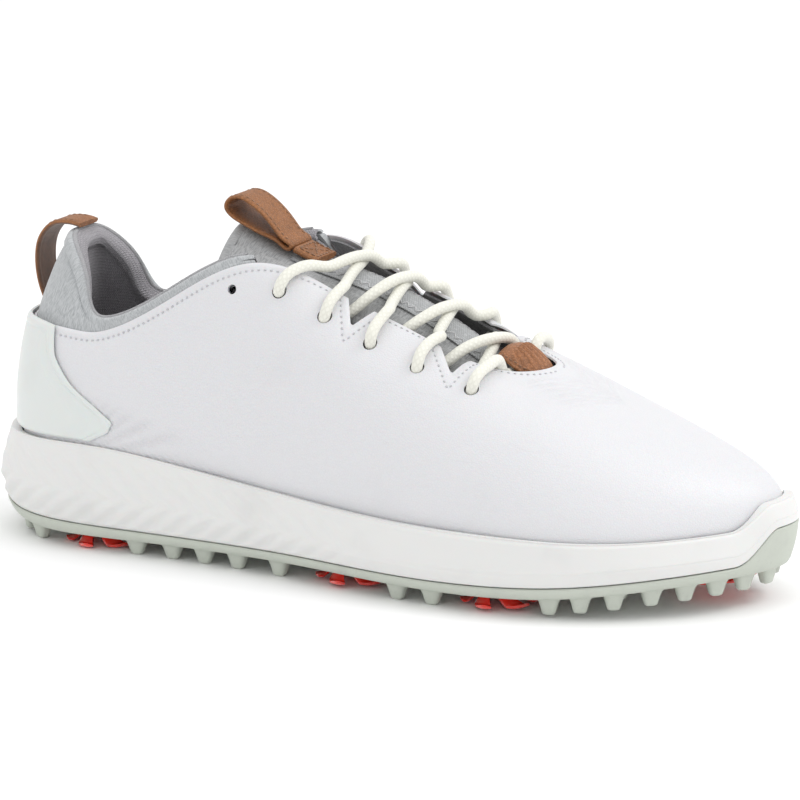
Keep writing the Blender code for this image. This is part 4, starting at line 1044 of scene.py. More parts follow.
def build_linings():
    u = np.linspace(5.1, 8.17, 240)
    low = np.interp(u, [4.3, 4.9, 5.7, 7.4, 8.3], [0.80, 0.79, 0.75, 0.70, 0.82])
    for name, mirror in (("eyestay_backing_lateral", False), ("eyestay_backing_medial", True)):
        dense_layer(name + "_felt", 18 - u if mirror else u, low, LEATHER_EDGE(u) - 0.015, -0.3, 0.55,
                    LOOKS["backing"], [name], rows=60, cuts=cuts_of(mirror))
    u = np.linspace(-3.5, 3.5, 160)
    dense_layer("heel_stiffener_shell", u, 0.05, 0.5 + 0.04 * np.cos(u * 0.8), 0.15, 1.0,
                LOOKS["stiffener"], ["heel_stiffener"])
    u = np.linspace(7.8, 10.2, 120)
    dense_layer("toe_puff_shell", u, 0.1, 0.45 - 0.08 * np.abs(u - 9), 0.15, 1.0,
                LOOKS["stiffener"], ["toe_puff"])
    u = fine_stations(2.0)
    dense_layer("lining_knit_skin", u, 0.015, lining_edge(u) - 0.004,
                lambda a, b: -lining_depth(a, b) - KNIT_THICKNESS,
                lambda a, b: -lining_depth(a, b), LOOKS["lining"], ["lining"], True, 90)
    u = np.linspace(-4.6, 4.6, 260)
    foam = dense_layer("collar_foam_pad", u, 0.46, 0.985,
                       lambda a, b: -FOAM_DEPTH * padding(a, b) + 0.3, -KNIT_THICKNESS - 0.3,
                       LOOKS["foam"], ["collar_foam"])
    u = np.linspace(-5.05, 5.05, 420)
    edge = LEATHER_EDGE(u)

    def puffed(a, b):
        low = LEATHER_EDGE(a)
        share = np.clip((b - low) / (0.995 - low), 0, 1)
        ripple = 0.1 * np.sin(side(a) * 9 + b * 21) * smooth(share / 0.2)
        return (1.45 + ripple) * smooth((b - low + 0.05) / 0.04) * (1 - share**4)

    knit = dense_layer("collar_brushed_knit", u, edge - 0.08, 0.995, -KNIT_THICKNESS, puffed,
                       LOOKS["collar"], ["collar_knit"], rows=50)
    build_binding()


def build_binding():
    """The knit rolled over the rim, and the pale piping along its seam with the lining."""
    u = np.linspace(-5.06, 5.06, 420)
    near = np.full(len(u), 0.999)
    depth = (FOAM_DEPTH * padding(u, near - 0.049) + KNIT_THICKNESS + 0.5) / 2
    ends = smooth((5.15 - np.abs(u)) / 0.5)[:, None]
    half = np.maximum(depth, 1.3)
    n, up, rim = normal(u, near), tangent_up(u, near), point(u, np.ones(len(u)))
    sheets = []
    for grow in (1.3, 0.3):
        columns = [rim + n * grow - up * (2.2 * ends), rim + n * grow - up * (1.1 * ends)]
        for angle in np.linspace(0, math.pi, 21):
            across = (half + grow) * math.cos(angle) - half
            columns.append(rim + n * across[:, None] + up * (1.2 + grow * 0.7) * math.sin(angle))
        columns.append(rim + n * (-2 * half - grow)[:, None] - up * (1.1 * ends))
        columns.append(rim + n * (-2 * half - grow)[:, None] - up * (2.2 * ends))
        sheets.append(np.stack(columns, 1))
    seam = 9
    solid_sheet("collar_rim_knit", sheets[0][:, : seam + 1], sheets[1][:, : seam + 1],
                LOOKS["collar"], "shoe", ["collar_binding"])
    solid_sheet("collar_rim_lining", sheets[0][:, seam:], sheets[1][:, seam:], LOOKS["lining"],
                "shoe")
    path = sheets[0][:, seam][np.abs(u) < 5.0]
    path = resample(path, 1.0)
    rod("collar_piping", path, np.full(len(path), 0.8), 12, LOOKS["piping"], "shoe")


def lip_height(u):
    """Height up the upper at which the midsole's lip stands."""
    low = np.zeros(len(u))
    high = np.full(len(u), 0.6)
    target = lip_line(u)[:, 2]
    for _ in range(30):
        middle = (low + high) / 2
        z = shell(u, middle, LEATHER_OUT)[:, 2]
        low = np.where(z < target, middle, low)
        high = np.where(z < target, high, middle)
    return (low + high) / 2


def build_clip():
    """The moulded heel clip, with rounded edges and a line that follows its outline."""
    shares = np.linspace(-1, 1, 201)
    v = np.linspace(0, 1, 90)
    reach = np.interp(v, [0, 0.12, 0.25, 0.4, 0.55, 0.75, 1.0],
                      [2.72, 2.98, 3.07, 2.84, 2.5, 2.15, 2.0])
    for _ in range(3):
        reach = np.concatenate([reach[:1], (reach[:-2] + reach[1:-1] * 2 + reach[2:]) / 4, reach[-1:]])
    u = shares[:, None] * reach[None, :]
    start = np.stack([lip_height(column) + 0.02 for column in u.T], 1)
    end = (0.60 + 0.11 * shares**2)[:, None]
    t = start * (1 - v) + end * v
    bare = shell(u, t, CLIP_IN)
    ends = np.minimum(np.cumsum(np.linalg.norm(np.diff(bare, axis=0, prepend=bare[:1]), axis=2), 0),
                      np.cumsum(np.linalg.norm(np.diff(bare[::-1], axis=0, prepend=bare[-1:]), axis=2),
                                0)[::-1])
    up = np.cumsum(np.linalg.norm(np.diff(bare, axis=1, prepend=bare[:, :1]), axis=2), 1)
    from_top = up[:, -1:] - up
    from_edge = -np.log(np.exp(-ends) + np.exp(-from_top))
    thick = 1.5 - 0.75 * np.exp(-((np.minimum(ends, np.minimum(from_top, up)) / 0.8) ** 2))
    thick *= np.clip((1 - np.abs(shares)) * 6, 0.55, 1)[:, None]
    thick -= 0.32 * np.exp(-(((from_edge - 3.4) / 0.45) ** 2))
    thick -= 0.1 * smooth((from_edge - 3.4) / 0.8)
    solid_sheet("heel_clip_moulded", shell(u, t, CLIP_IN + thick), bare, LOOKS["clip"], "shoe",
                ["heel_clip"])


# ---------------------------------------------------------------- the sole


def tread_height(x, y):
    """Height of the tread's flat bottom under a point."""
    u = np.linspace(0.01, 8.99, 400)
    lateral = TREAD(u)
    medial = TREAD(18 - u)
    k = np.argmin(np.abs((lateral[:, 0] + medial[:, 0]) / 2 - x))
    f = min(max((y - lateral[k, 1]) / (medial[k, 1] - lateral[k, 1]), 0), 1)
    return lateral[k, 2] * (1 - f) + medial[k, 2] * f


def inset(points, distance):
    """A closed ring moved inward in plan."""
    along = np.roll(points, -1, 0) - np.roll(points, 1, 0)
    across = unit(np.stack([-along[:, 1], along[:, 0], np.zeros(len(points))], 1))
    inward = np.sign(np.sum(across * (points.mean(0) - points), 1).sum())
    return points + across * inward * distance


def at_height(points, z):
    moved = np.array(points)
    moved[:, 2] = z
    return moved


def sole_stations():
    half = np.concatenate([np.arange(0, 8.4, 0.035), np.arange(8.4, 8.99, 0.02)])
    return np.concatenate([half, [9.0], 18 - half[:0:-1]])


def herringbone(x, share, z):
    """Relief of the midsole's side in mm: slanted ridges below, mirrored and fainter above."""
    fade = smooth((178 - x) / 45) * smooth((x + 2) / 14)
    low = smooth((share - 0.02) / 0.08) * smooth((0.5 - share) / 0.14)
    high = smooth((share - 0.42) / 0.12) * smooth((0.93 - share) / 0.12)
    rising = np.abs(((x - z * 1.25) / 9.6) % 1 * 2 - 1)
    falling = np.abs(((x + z * 1.25) / 9.6) % 1 * 2 - 1)
    relief = fade * (1.15 * low * (smooth(rising) - 0.5) + 0.6 * high * (smooth(falling) - 0.5))
    step = smooth((x - 165) / 40) * 0.3 * smooth((share - 0.40) / 0.04) * smooth((0.97 - share) / 0.05)
    return relief + step


def build_midsole():
    around = sole_stations()
    tread, rim, widest, lip = TREAD(around), rim_line(around), widest_line(around), lip_line(around)
    lift = np.array([0, 0, 0.3])
    side_lines = np.array([rim + lift, widest, widest * 0.45 + lip * 0.55, lip])
    knots = [0, 0.36, 0.72, 1.0]
    shares = np.concatenate([np.linspace(0, 0.965, 44), [0.985]])
    wall = spline(knots, side_lines, shares)
    wall = 0.35 * wall + 0.65 * np.stack([np.stack([np.interp(shares, knots, side_lines[:, i, k])
                                                    for k in range(3)], 1)
                                          for i in range(len(around))], 1)
    rings = [at_height(inset(tread, 7.2), tread[:, 2] + RUBBER_FLOOR + 0.3),
             inset(rim, RUBBER_WALL + 4.4) + lift * 3.0]
    for share, line in zip(shares, wall):
        outward = -(inset(line, 1.0) - line)
        relief = herringbone(line[:, 0], np.full(len(line), share), line[:, 2])
        relief -= 0.7 * smooth((0.04 - share) / 0.04) + 0.35 * smooth((share - 0.95) / 0.04)
        rings.append(line + outward * relief[:, None])
    seam = GUIDES[0](around)[:, 2]
    cup = shell(around, np.zeros(len(around)), LEATHER_OUT + 0.45)
    inner_lip = shell(around, lip_height(around), LEATHER_OUT + 0.45)
    half_way = shell(around, lip_height(around) * 0.5, LEATHER_OUT + 0.5)
    crest = at_height(lip * 0.7 + inner_lip * 0.3, lip[:, 2] + 0.1)
    rings += [lip * 0.93 + inner_lip * 0.07 + lift * 0.1, crest, at_height(inner_lip, lip[:, 2] - 0.1),
              half_way, at_height(cup, seam - 2.3)]
    filled_rings("midsole_moulded", rings, LOOKS["midsole"], "shoe", ["midsole"],
                 sharp=50)


def lug_spots():
    """Each lug's middle, direction, height of its base, half length and half width."""
    spots = []
    for sign, stations in ((1, LUGS_LATERAL), (-1, LUGS_MEDIAL)):
        for u in stations:
            here, ahead = TREAD(np.array([u * sign, (u + 0.02) * sign]))
            along = unit((ahead - here)[:2])
            across = np.array([-along[1], along[0]])
            if np.dot(across, np.array([150.0, 0.0]) - here[:2]) < 0:
                across = -across
            spots.append((here[:2] + across * 4.6, along, here[2], 3.6, 2.7))
    for x, y in LUGS_INNER:
        spots.append((np.array([x, y], float), np.array([0.8, 0.6]), tread_height(x, y), 2.9, 2.9))
    return spots


def lug(middle, along, base, half_long, half_wide):
    """A tapered lug with a flared root and a rounded tip."""
    across = np.array([-along[1], along[0]])
    tip = max(0.0, base - LUG_DEPTH)
    depth = base - tip
    levels = [(-1.2, 1.42), (0.0, 1.36), (0.4, 1.16), (1.1, 1.02), (2.4, 0.88), (depth - 1.2, 0.68),
              (depth - 0.45, 0.6), (depth - 0.1, 0.47), (depth, 0.3)]
    sides = 20
    points = []
    for drop, size in levels:
        for k in range(sides):
            angle = 2 * math.pi * k / sides
            c, s = math.cos(angle), math.sin(angle)
            square = (abs(c) ** 4 + abs(s) ** 4) ** -0.25
            flat = middle + (along * c * half_long + across * s * half_wide) * square * size
            points.append((*flat, base - drop))
    return points, capped_rings(len(levels), sides)


def spike_place(x, y):
    """Middle of a spike's seat on the tread, and its three directions."""
    slope = (tread_height(x + 8, y) - tread_height(x - 8, y)) / 16
    ahead = np.array([1, 0, slope]) / math.hypot(1, slope)
    aside = np.array([0.0, 1.0, 0.0])
    return np.array([x, y, tread_height(x, y)]), ahead, aside, np.cross(ahead, aside)


def seated(rings, place):
    """Points given as angle, radius and height, placed at a spike's seat."""
    middle, ahead, aside, up = place
    rings = np.asarray(rings, float)
    angle, radius, height = rings[..., 0:1], rings[..., 1:2], rings[..., 2:3]
    return middle + (ahead * np.cos(angle) + aside * np.sin(angle)) * radius + up * height


def turned_body(profile, place, steps=48):
    """A body of revolution round a spike's axis, from (radius, height) pairs, axis to axis."""
    angles = np.arange(steps) * 2 * math.pi / steps
    points = [seated([0, 0, profile[0][1]], place)]
    for radius, height in profile[1:-1]:
        points += list(seated([(a, radius, height) for a in angles], place))
    points.append(seated([0, 0, profile[-1][1]], place))
    rings = len(profile) - 2
    faces = []
    for i in range(steps):
        k = (i + 1) % steps
        faces.append((0, 1 + k, 1 + i))
        for j in range(rings - 1):
            a, b = 1 + j * steps, 1 + (j + 1) * steps
            faces.append((a + i, a + k, b + k, b + i))
        a = 1 + (rings - 1) * steps
        faces.append((a + i, a + k, len(points) - 1))
    return points, faces


def pockets(target):
    """Cuts the round holes that hold the spike receptacles."""
    bodies = []
    for _, x, y in SPIKES:
        profile = [(0, -4.0), (10.3, -4.0), (10.3, 5.9), (0, 5.9)]
        bodies.append(turned_body(profile, spike_place(x, y), 64))
    cutter = joined("pocket_cutter", bodies, LOOKS["black"], "shoe")
    cut = target.modifiers.new("pockets", "BOOLEAN")
    cut.operation = "DIFFERENCE"
    cut.solver = "EXACT"
    cut.object = cutter
    bpy.context.view_layer.update()
    carved = bpy.data.meshes.new_from_object(target.evaluated_get(bpy.context.evaluated_depsgraph_get()))
    target.modifiers.clear()
    target.data = carved
    bpy.data.objects.remove(cutter)


def build_outsole():
    around = sole_stations()
    tread, rim = TREAD(around), rim_line(around)
    rings = [at_height(inset(tread, 3.0), tread[:, 2] + RUBBER_FLOOR), inset(rim, RUBBER_WALL),
             inset(rim, 0.35), rim - np.array([0, 0, 0.4])]
    for f in np.linspace(0.12, 0.9, 9):
        bulge = 0.55 * math.sin(math.pi * f)
        line = rim * (1 - f) + tread * f
        rings.append(line - (inset(line, 1.0) - line) * bulge)
    rings += [inset(tread, 0.35), inset(tread, 1.1)]
    base = filled_rings("outsole_plate", rings, LOOKS["rubber"], "shoe", ["outsole"],
                        sharp=50)
    pockets(base)
    base.data.set_sharp_from_angle(angle=math.radians(45))
    bodies = [lug(*spot) for spot in lug_spots()]
    for _, x, y in SPIKES:
        place = spike_place(x, y)
        ring_profile = [(10.2, 0.25), (10.2, -0.35), (10.6, -0.55), (11.6, -0.55), (12.2, 0.25)]
        bodies.append(hoop(ring_profile, place))
    joined("outsole_lugs", bodies, LOOKS["rubber"], "shoe", sharp=60)


def hoop(profile, place, steps=64):
    """A closed ring round a spike's axis."""
    angles = np.arange(steps) * 2 * math.pi / steps
    points = [p for a in angles for p in seated([(a, r, h) for r, h in profile], place)]
    size = len(profile)
    faces = []
    for i in range(steps):
        a, b = i * size, (i + 1) % steps * size
        for j in range(size):
            k = (j + 1) % size
            faces.append((a + j, b + j, b + k, a + k))
    return points, faces


def blade(angle, place):
    """One thin swept leg of a spike, arching out and down from the hub to a rounded foot."""
    foot = -SPIKE_DEPTH
    shares = np.linspace(0, 1, 15)
    radius = STEM_RADIUS + (SPIKE_RADIUS - STEM_RADIUS) * shares
    lowest = np.interp(shares, [0, 0.35, 0.7, 0.9, 1.0], [-2.9, -3.6, foot, foot + 0.25, foot + 1.1])
    highest = np.interp(shares, [0, 0.35, 0.7, 0.9, 1.0], [-1.2, -1.6, foot + 1.5, foot + 1.6, foot + 2.0])
    half = np.interp(shares, [0, 0.3, 0.75, 0.93, 1.0], [2.4, 2.6, 3.7, 3.0, 1.3])
    turn = angle + 0.5 * shares**1.3
    sides = 12
    points = []
    for r, low, high, w, a in zip(radius, lowest, highest, half, turn):
        for k in range(sides):
            c, s = math.cos(2 * math.pi * k / sides), math.sin(2 * math.pi * k / sides)
            square = (abs(c) ** 3 + abs(s) ** 3) ** (-1 / 3)
            height = (low + high) / 2 + (high - low) / 2 * s * square
            points.append(seated([a + c * square * w / r, r, height], place))
    return points, capped_rings(len(shares), sides)


def build_spikes():
    """The twist-lock spikes: hub, stem and six swept legs."""
    hub = [(0, -3.6), (1.6, -3.55), (3.4, -3.2), (4.6, -2.5), (6.4, -2.2), (9.2, -2.0), (10.1, -1.6),
           (10.3, -1.0), (9.9, -0.5), (STEM_RADIUS, -0.45), (STEM_RADIUS, 2.75), (5.6, 2.85), (5.6, 4.1),
           (0, 4.1)]
    for name, x, y in SPIKES:
        place = spike_place(x, y)
        bodies = [turned_body(hub, place)]
        for k in range(6):
            bodies.append(blade(k * math.pi / 3, place))
        joined("spike_legs_" + name, bodies, LOOKS["red"], "spike_" + name,
               ["spike_" + name], sharp=50)


def build_boards():
    around = fine_stations(2.0)
    seam = GUIDES[0](around)[:, 2]
    low = shell(around, np.full(len(around), 0.02), -2.2)
    high = shell(around, np.full(len(around), 0.07), -2.0)
    middle = at_height(low * 0.35 + high * 0.65, seam * 0.35 + high[:, 2] * 0.65 + 0.2)

    def cushioned(share):
        return np.array([0, 0, 0.9 * math.sin(math.pi * share) ** 0.5])

    rings = [at_height(low, seam), middle, high, inset(high, 1.2) + np.array([0, 0, 0.35])]
    insole = filled_rings("insole_textile", rings, LOOKS["insole"], "shoe", ["insole"],
                          inner=30, sharp=60, crown=cushioned)


# ---------------------------------------------------------------- the tongue


CREST = np.array(TONGUE_CREST, float)
SIDES = np.array(TONGUE_SIDE, float)


def crest(u):
    return spline(CREST[:, 0], CREST[:, 1:], np.atleast_1d(np.asarray(u, float)))


def tongue_grid(stations, across):
    """Outer face of the tongue: rows along it, columns across it from lateral to medial."""
    rows = []
    sides = spline(SIDES[:, 0], SIDES[:, 1:], np.asarray(stations, float))
    for u, (x, z), (half, low_z) in zip(stations, crest(stations), sides):
        low = smooth((u - 6.4) / 1.3)
        back = 2.1 + 1.4 * smooth((u - 4.5) / 1.0)
        knots = [-1.0, -0.74, -0.5, 0.0, 0.5, 0.74, 1.0]
        values = [np.array([x, 0.5, z])]
        for sign in (-1, 1):
            edge = np.array([x - back, 0.4 + sign * half, low_z])
            step = np.array([4 * (1 - low), sign * (2 + 3 * low), -7 + 3 * low])
            made = [edge, edge + step * 0.5, edge + step]
            values = values + made if sign > 0 else made[::-1] + values
        rows.append(spline(knots, values, np.asarray(across, float)))
    return np.array(rows)


def grid_normals(grid):
    along = np.gradient(grid, axis=0)
    across = np.gradient(grid, axis=1)
    n = unit(np.cross(along, across))
    n = n * np.sign(n[len(n) // 2, n.shape[1] // 2, 2])
    return unit(n * 0.3 + n[:, n.shape[1] // 2][:, None] * 0.7)


def tongue_sheet(name, stations, across, inner, outer, look, replaces, relief=None):
    """A fine version of one layer of the tongue. relief(u, w) raises its outer face, in mm."""
    grid = tongue_grid(stations, across)
    n = grid_normals(grid)
    full = (1 - 0.8 * np.abs(np.asarray(across)) ** 2)[None, :, None]
    high = outer[0] + outer[1] * full
    low = inner[0] + inner[1] * full
    if relief is not None:
        high = high + relief(np.asarray(stations)[:, None], np.asarray(across)[None, :])[..., None]
    return solid_sheet(name, grid + n * high, grid + n * low, look, "tongue", replaces)


def quilting(u, w):
    """Sewn channels across the tongue and the two seams beside its ribbon."""
    channel = np.abs(((u - 4.5) / 0.36 + 0.35 * w * w) % 1 - 0.5) * 2
    groove = np.exp(-(((1 - channel) / 0.16) ** 2)) * smooth((np.abs(w) - 0.2) / 0.06)
    seams = np.exp(-(((np.abs(w) - 0.215) / 0.018) ** 2)) + 0.8 * np.exp(-(((np.abs(w) - 0.43) / 0.02) ** 2))
    fade = smooth((0.85 - np.abs(w)) / 0.2)
    puff = 0.25 * np.sin(np.pi * channel / 2) * smooth((np.abs(w) - 0.22) / 0.1) * fade
    ends = np.exp(-(((u - 4.5) / 0.05) ** 2)) * 0.8
    return puff - (0.5 * groove + 0.55 * np.minimum(seams, 1)) * fade - ends - 0.25


def build_tongue():
    stations = np.linspace(4.5, 8.4, 230)
    across = np.linspace(-1, 1, 150)
    knit = tongue_sheet("tongue_quilted_knit", stations, across, (-1.0, 0), (0, 0), LOOKS["tongue"],
                        ["tongue_knit"], quilting)
    foam = tongue_sheet("tongue_foam_pad", stations[::3], across[::3] * 0.97, (-1.7, -3.4), (-1.3, 0),
                        LOOKS["foam"], ["tongue_foam"])
    tongue_sheet("tongue_mesh_lining", stations[::2], across[::2], (-3.2, -3.4), (-2.2, -3.4),
                 LOOKS["lining"], ["tongue_lining"])
    tongue_sheet("tongue_centre_ribbon", np.linspace(5.2, 7.9, 150), np.linspace(-0.17, 0.17, 25),
                 (0.3, 0), (1.1, 0), LOOKS["ribbon"], ["tongue_ribbon"],
                 lambda u, w: -0.35 * (np.abs(w) / 0.17) ** 6 - 0.08)
    bodies = []
    for row in (-0.12, 0.12):
        u = np.arange(5.45, 7.85, 0.055)
        w = row + np.where(np.arange(len(u)) % 2, 0.022, -0.022)
        for k in range(len(u) - 1):
            ends = [tongue_point(a, b, 1.02) for a, b in ((u[k], w[k]), (u[k + 1], w[k + 1]))]
            up = unit(tongue_point(u[k], w[k], 2.0) - tongue_point(u[k], w[k], 1.0))
            bodies.append(bead(ends[0], ends[1], up, 0.26, 0.26, 6))
    joined("tongue_ribbon_stitching", bodies, LOOKS["thread_pale"], "tongue")
    build_tongue_tip()
    build_tongue_loop()
    build_keeper()


def tongue_point(u, w, height):
    grid = tongue_grid(np.array([u + 0.05, u, u - 0.05]), np.array([w - 0.02, w, w + 0.02]))
    return grid[1, 1] + grid_normals(grid)[1, 1] * height


def build_tongue_tip():
    """The knit turned over the tongue's top edge, from its face to its lining."""
    across = np.linspace(-1, 1, 120)
    grid = tongue_grid(np.array([4.5, 4.53, 4.56]), across)
    n = grid_normals(grid)[0]
    ahead = unit(grid[0] - grid[2])
    full = (1 - 0.8 * across**2)[:, None]
    deep = 3.2 + 3.4 * full
    sheets = []
    for grow in (0.25, -0.55):
        columns = [grid[0] + n * (-0.7 + grow) - ahead * 1.5]
        for angle in np.linspace(0, math.pi, 19):
            height = -deep / 2 + (deep / 2 - 0.7 + grow) * math.cos(angle)
            columns.append(grid[0] + n * height + ahead * (2.0 + grow) * math.sin(angle))
        columns.append(grid[0] + n * (-deep + 0.7 - grow) - ahead * 1.5)
        sheets.append(np.stack(columns, 1))
    solid_sheet("tongue_rolled_tip", sheets[0], sheets[1], LOOKS["tongue"], "tongue")


def crest_frame(u):
    """A point of the crest line, the way to the tongue's tip and the way away from the foot."""
    here, ahead = crest(np.array([u, u - 0.02]))
    along = unit(ahead - here)
    return here, along, np.array([along[1], -along[0]])


def smooth_line(line, step=0.5, closed=False):
    """A smooth line in X and Z through the given points, with points about one step apart."""
    line = np.asarray(line, float)
    if closed:
        line = np.concatenate([line[-3:], line, line[:4]])
    length = run_of(line)
    low, high = (length[3], length[-4]) if closed else (0, length[-1])
    places = np.linspace(low, high, int((high - low) / step) + 1)
    return spline(length, line, places[:-1] if closed else places)


def wide_strap(name, centre, thick, width, looks, body, replaces=(), closed=False):
    """A leather strap across Y along a line in X and Z, with rounded edges."""
    centre = np.asarray(centre, float)
    if closed:
        along = unit(np.roll(centre, -1, 0) - np.roll(centre, 1, 0))
    else:
        along = unit(np.gradient(centre, axis=0))
    out = np.stack([along[:, 1], -along[:, 0]], 1)
    shares = np.sin(np.linspace(-1, 1, 29) * math.pi / 2)
    half = width / 2
    sheets = []
    for sign in (1, -1):
        rows = []
        for spot, way in zip(centre, out):
            edge = np.clip((1 - np.abs(shares)) * half / (thick * 0.75), 0, 1)
            swell = np.sqrt(np.clip(1 - (1 - edge) ** 2, 0.0, 1)) * thick / 2
            swell = np.maximum(swell, 0.12)
            swell = swell - 0.12 * np.exp(-((((1 - np.abs(shares)) * half - 1.9) / 0.5) ** 2))
            flat = spot + way * swell[:, None] * sign
            rows.append(np.stack([flat[:, 0], shares * half, flat[:, 1]], 1))
        sheets.append(np.array(rows))
    return solid_sheet(name, sheets[0], sheets[1], looks, body, replaces, wrap=closed)


def strap_stitches(name, line, out, across, look, body, lift):
    """A row of stitches along a strap, this far across it and above its middle."""
    path = np.stack([line[:, 0] + out[:, 0] * lift, np.full(len(line), across),
                     line[:, 1] + out[:, 1] * lift], 1)
    ups = np.stack([out[:, 0], np.zeros(len(line)), out[:, 1]], 1)
    return stitches(name, path, ups, look, body, 2.3, 1.6, 0.32, 0.26)


def build_tongue_loop():
    root, along, up = crest_frame(5.13)
    outer = [(0.8, 1.7), (1.2, 2.9), (0.8, 4.1), (-2, 4.7), (-8, 6.8), (-14, 9.2), (-20, 10.5),
             (-25.8, 10.1), (-29.2, 7.0), (-29.3, 3.4), (-26, 1.2), (-20, 0.9), (-12, 1.3), (-4, 1.6)]
    inner = [(-1.2, 2.8), (-1.1, 2.95), (-1.2, 3.1), (-3.0, 3.5), (-8, 5.1), (-14, 7.6), (-20, 8.9),
             (-25.0, 8.5), (-27.5, 6.4), (-27.6, 4.1), (-25, 2.8), (-20, 2.5), (-12, 2.7), (-4, 2.75)]
    middle = [((a[0] + b[0]) / 2, (a[1] + b[1]) / 2) for a, b in zip(outer, inner)]
    line = np.array([root - along * a + up * b for a, b in middle])
    line = smooth_line(line, 0.5, True)
    wide_strap("tongue_loop_strap", line, 1.45, 17, LOOKS["brown"], "tongue_loop",
               ["tongue_loop"], True)
    way = unit(np.roll(line, -1, 0) - np.roll(line, 1, 0))
    out = np.stack([way[:, 1], -way[:, 0]], 1)
    centre = line.mean(0)
    out = out * np.sign(np.sum(out * (line - centre), 1).sum())
    for place, across in (("lateral", -6.6), ("medial", 6.6)):
        strap_stitches("tongue_loop_stitching_" + place, line, out, across, LOOKS["thread_brown"],
                       "tongue_loop", 0.62)
    patch_line = []
    for u in np.linspace(5.17, 5.47, 24):
        here, _, rise = crest_frame(u)
        patch_line.append(here + rise * 2.83)
    patch_line = np.array(patch_line)
    wide_strap("tongue_loop_root", patch_line, 2.5, 16, LOOKS["brown"], "tongue",
               ["tongue_loop_patch"])
    corners = [(0.12, -6.2), (0.88, -6.2), (0.88, 6.2), (0.12, 6.2), (0.12, -6.2), (0.88, 6.2),
               (0.12, 6.2), (0.88, -6.2)]
    path = []
    for (a, b), (c, d) in zip(corners[:-1], corners[1:]):
        for f in np.linspace(0, 1, 12)[:-1]:
            spot = np.array([np.interp((a + (c - a) * f), np.linspace(0, 1, 24), patch_line[:, k])
                             for k in (0, 1)])
            spot = spot + up * 1.27
            path.append((spot[0], b + (d - b) * f, spot[1]))
    ups = np.tile([up[0], 0, up[1]], (len(path), 1))
    stitches("tongue_loop_box_stitching", path, ups, LOOKS["thread_brown"], "tongue",
             2.3, 1.6, 0.32, 0.26)


def build_keeper():
    """The ribbed half-dome of leather over the lowest lace bar."""
    rows = [(198.0, 82.2, 7.6, 80.6), (202.5, 83.4, 10.2, 79.4), (207.0, 81.8, 10.2, 76.4),
            (211.5, 78.4, 8.2, 74.0), (215.0, 74.0, 5.6, 72.2)]
    fine = spline(np.linspace(0, 1, 5), np.array(rows), np.linspace(0, 1, 70))
    w = np.linspace(-1, 1, 121)
    outer = []
    inner = []
    for share, (x, top, half, edge) in zip(np.linspace(0, 1, 70), fine):
        z = edge + (top - edge) * (1 - w * w) ** 0.8
        y = w * half + 0.5
        spread = np.arctan2(w * half, (share + 0.25) * 17)
        ribs = ridges(spread, 0.17, 0.8) * smooth((share - 0.3) / 0.1) * smooth((0.99 - share) / 0.06)
        ribs = ribs * smooth((1.0 - np.abs(w)) / 0.12)
        roll = -0.5 * math.exp(-((share / 0.03) ** 2)) - 0.5 * math.exp(-(((1 - share) / 0.03) ** 2))
        outer.append(np.stack([np.full(len(w), x), y, z + 1.0 * ribs - 0.5 + roll], 1))
        inner.append(np.stack([np.full(len(w), x), y * 0.97, z - 1.5], 1))
    solid_sheet("lace_keeper_ribbed", outer, inner, LOOKS["keeper"], "shoe",
                ["lace_keeper"])
    rim = np.array([np.array(row)[4 if sign < 0 else -5] for sign in (-1, 1) for row in outer])
    for number, row in enumerate((rim[:70], rim[70:])):
        path = row + np.array([0, 0, 0.1])
        ups = np.tile([0.1, -0.6 if number == 0 else 0.6, 0.8], (len(path), 1))
        stitches(f"keeper_stitching_{number + 1}", path[6:-4], ups[6:-4], LOOKS["thread_brown"], "shoe",
                 2.0, 1.3, 0.28, 0.24)


# ---------------------------------------------------------------- the lace


def eyelet_point(row, medial, offset):
    u, t = EYELETS[row]
    return shell(18 - u if medial else u, t, offset)


def leather_at(x, t, medial, offset):
    """A point at this X on the upper's surface, t of the way up it."""
    u = np.linspace(4.5, 8.6, 83)
    u = np.interp(x, point(u, t)[:, 0], u)
    return shell(18 - u if medial else u, t, offset)


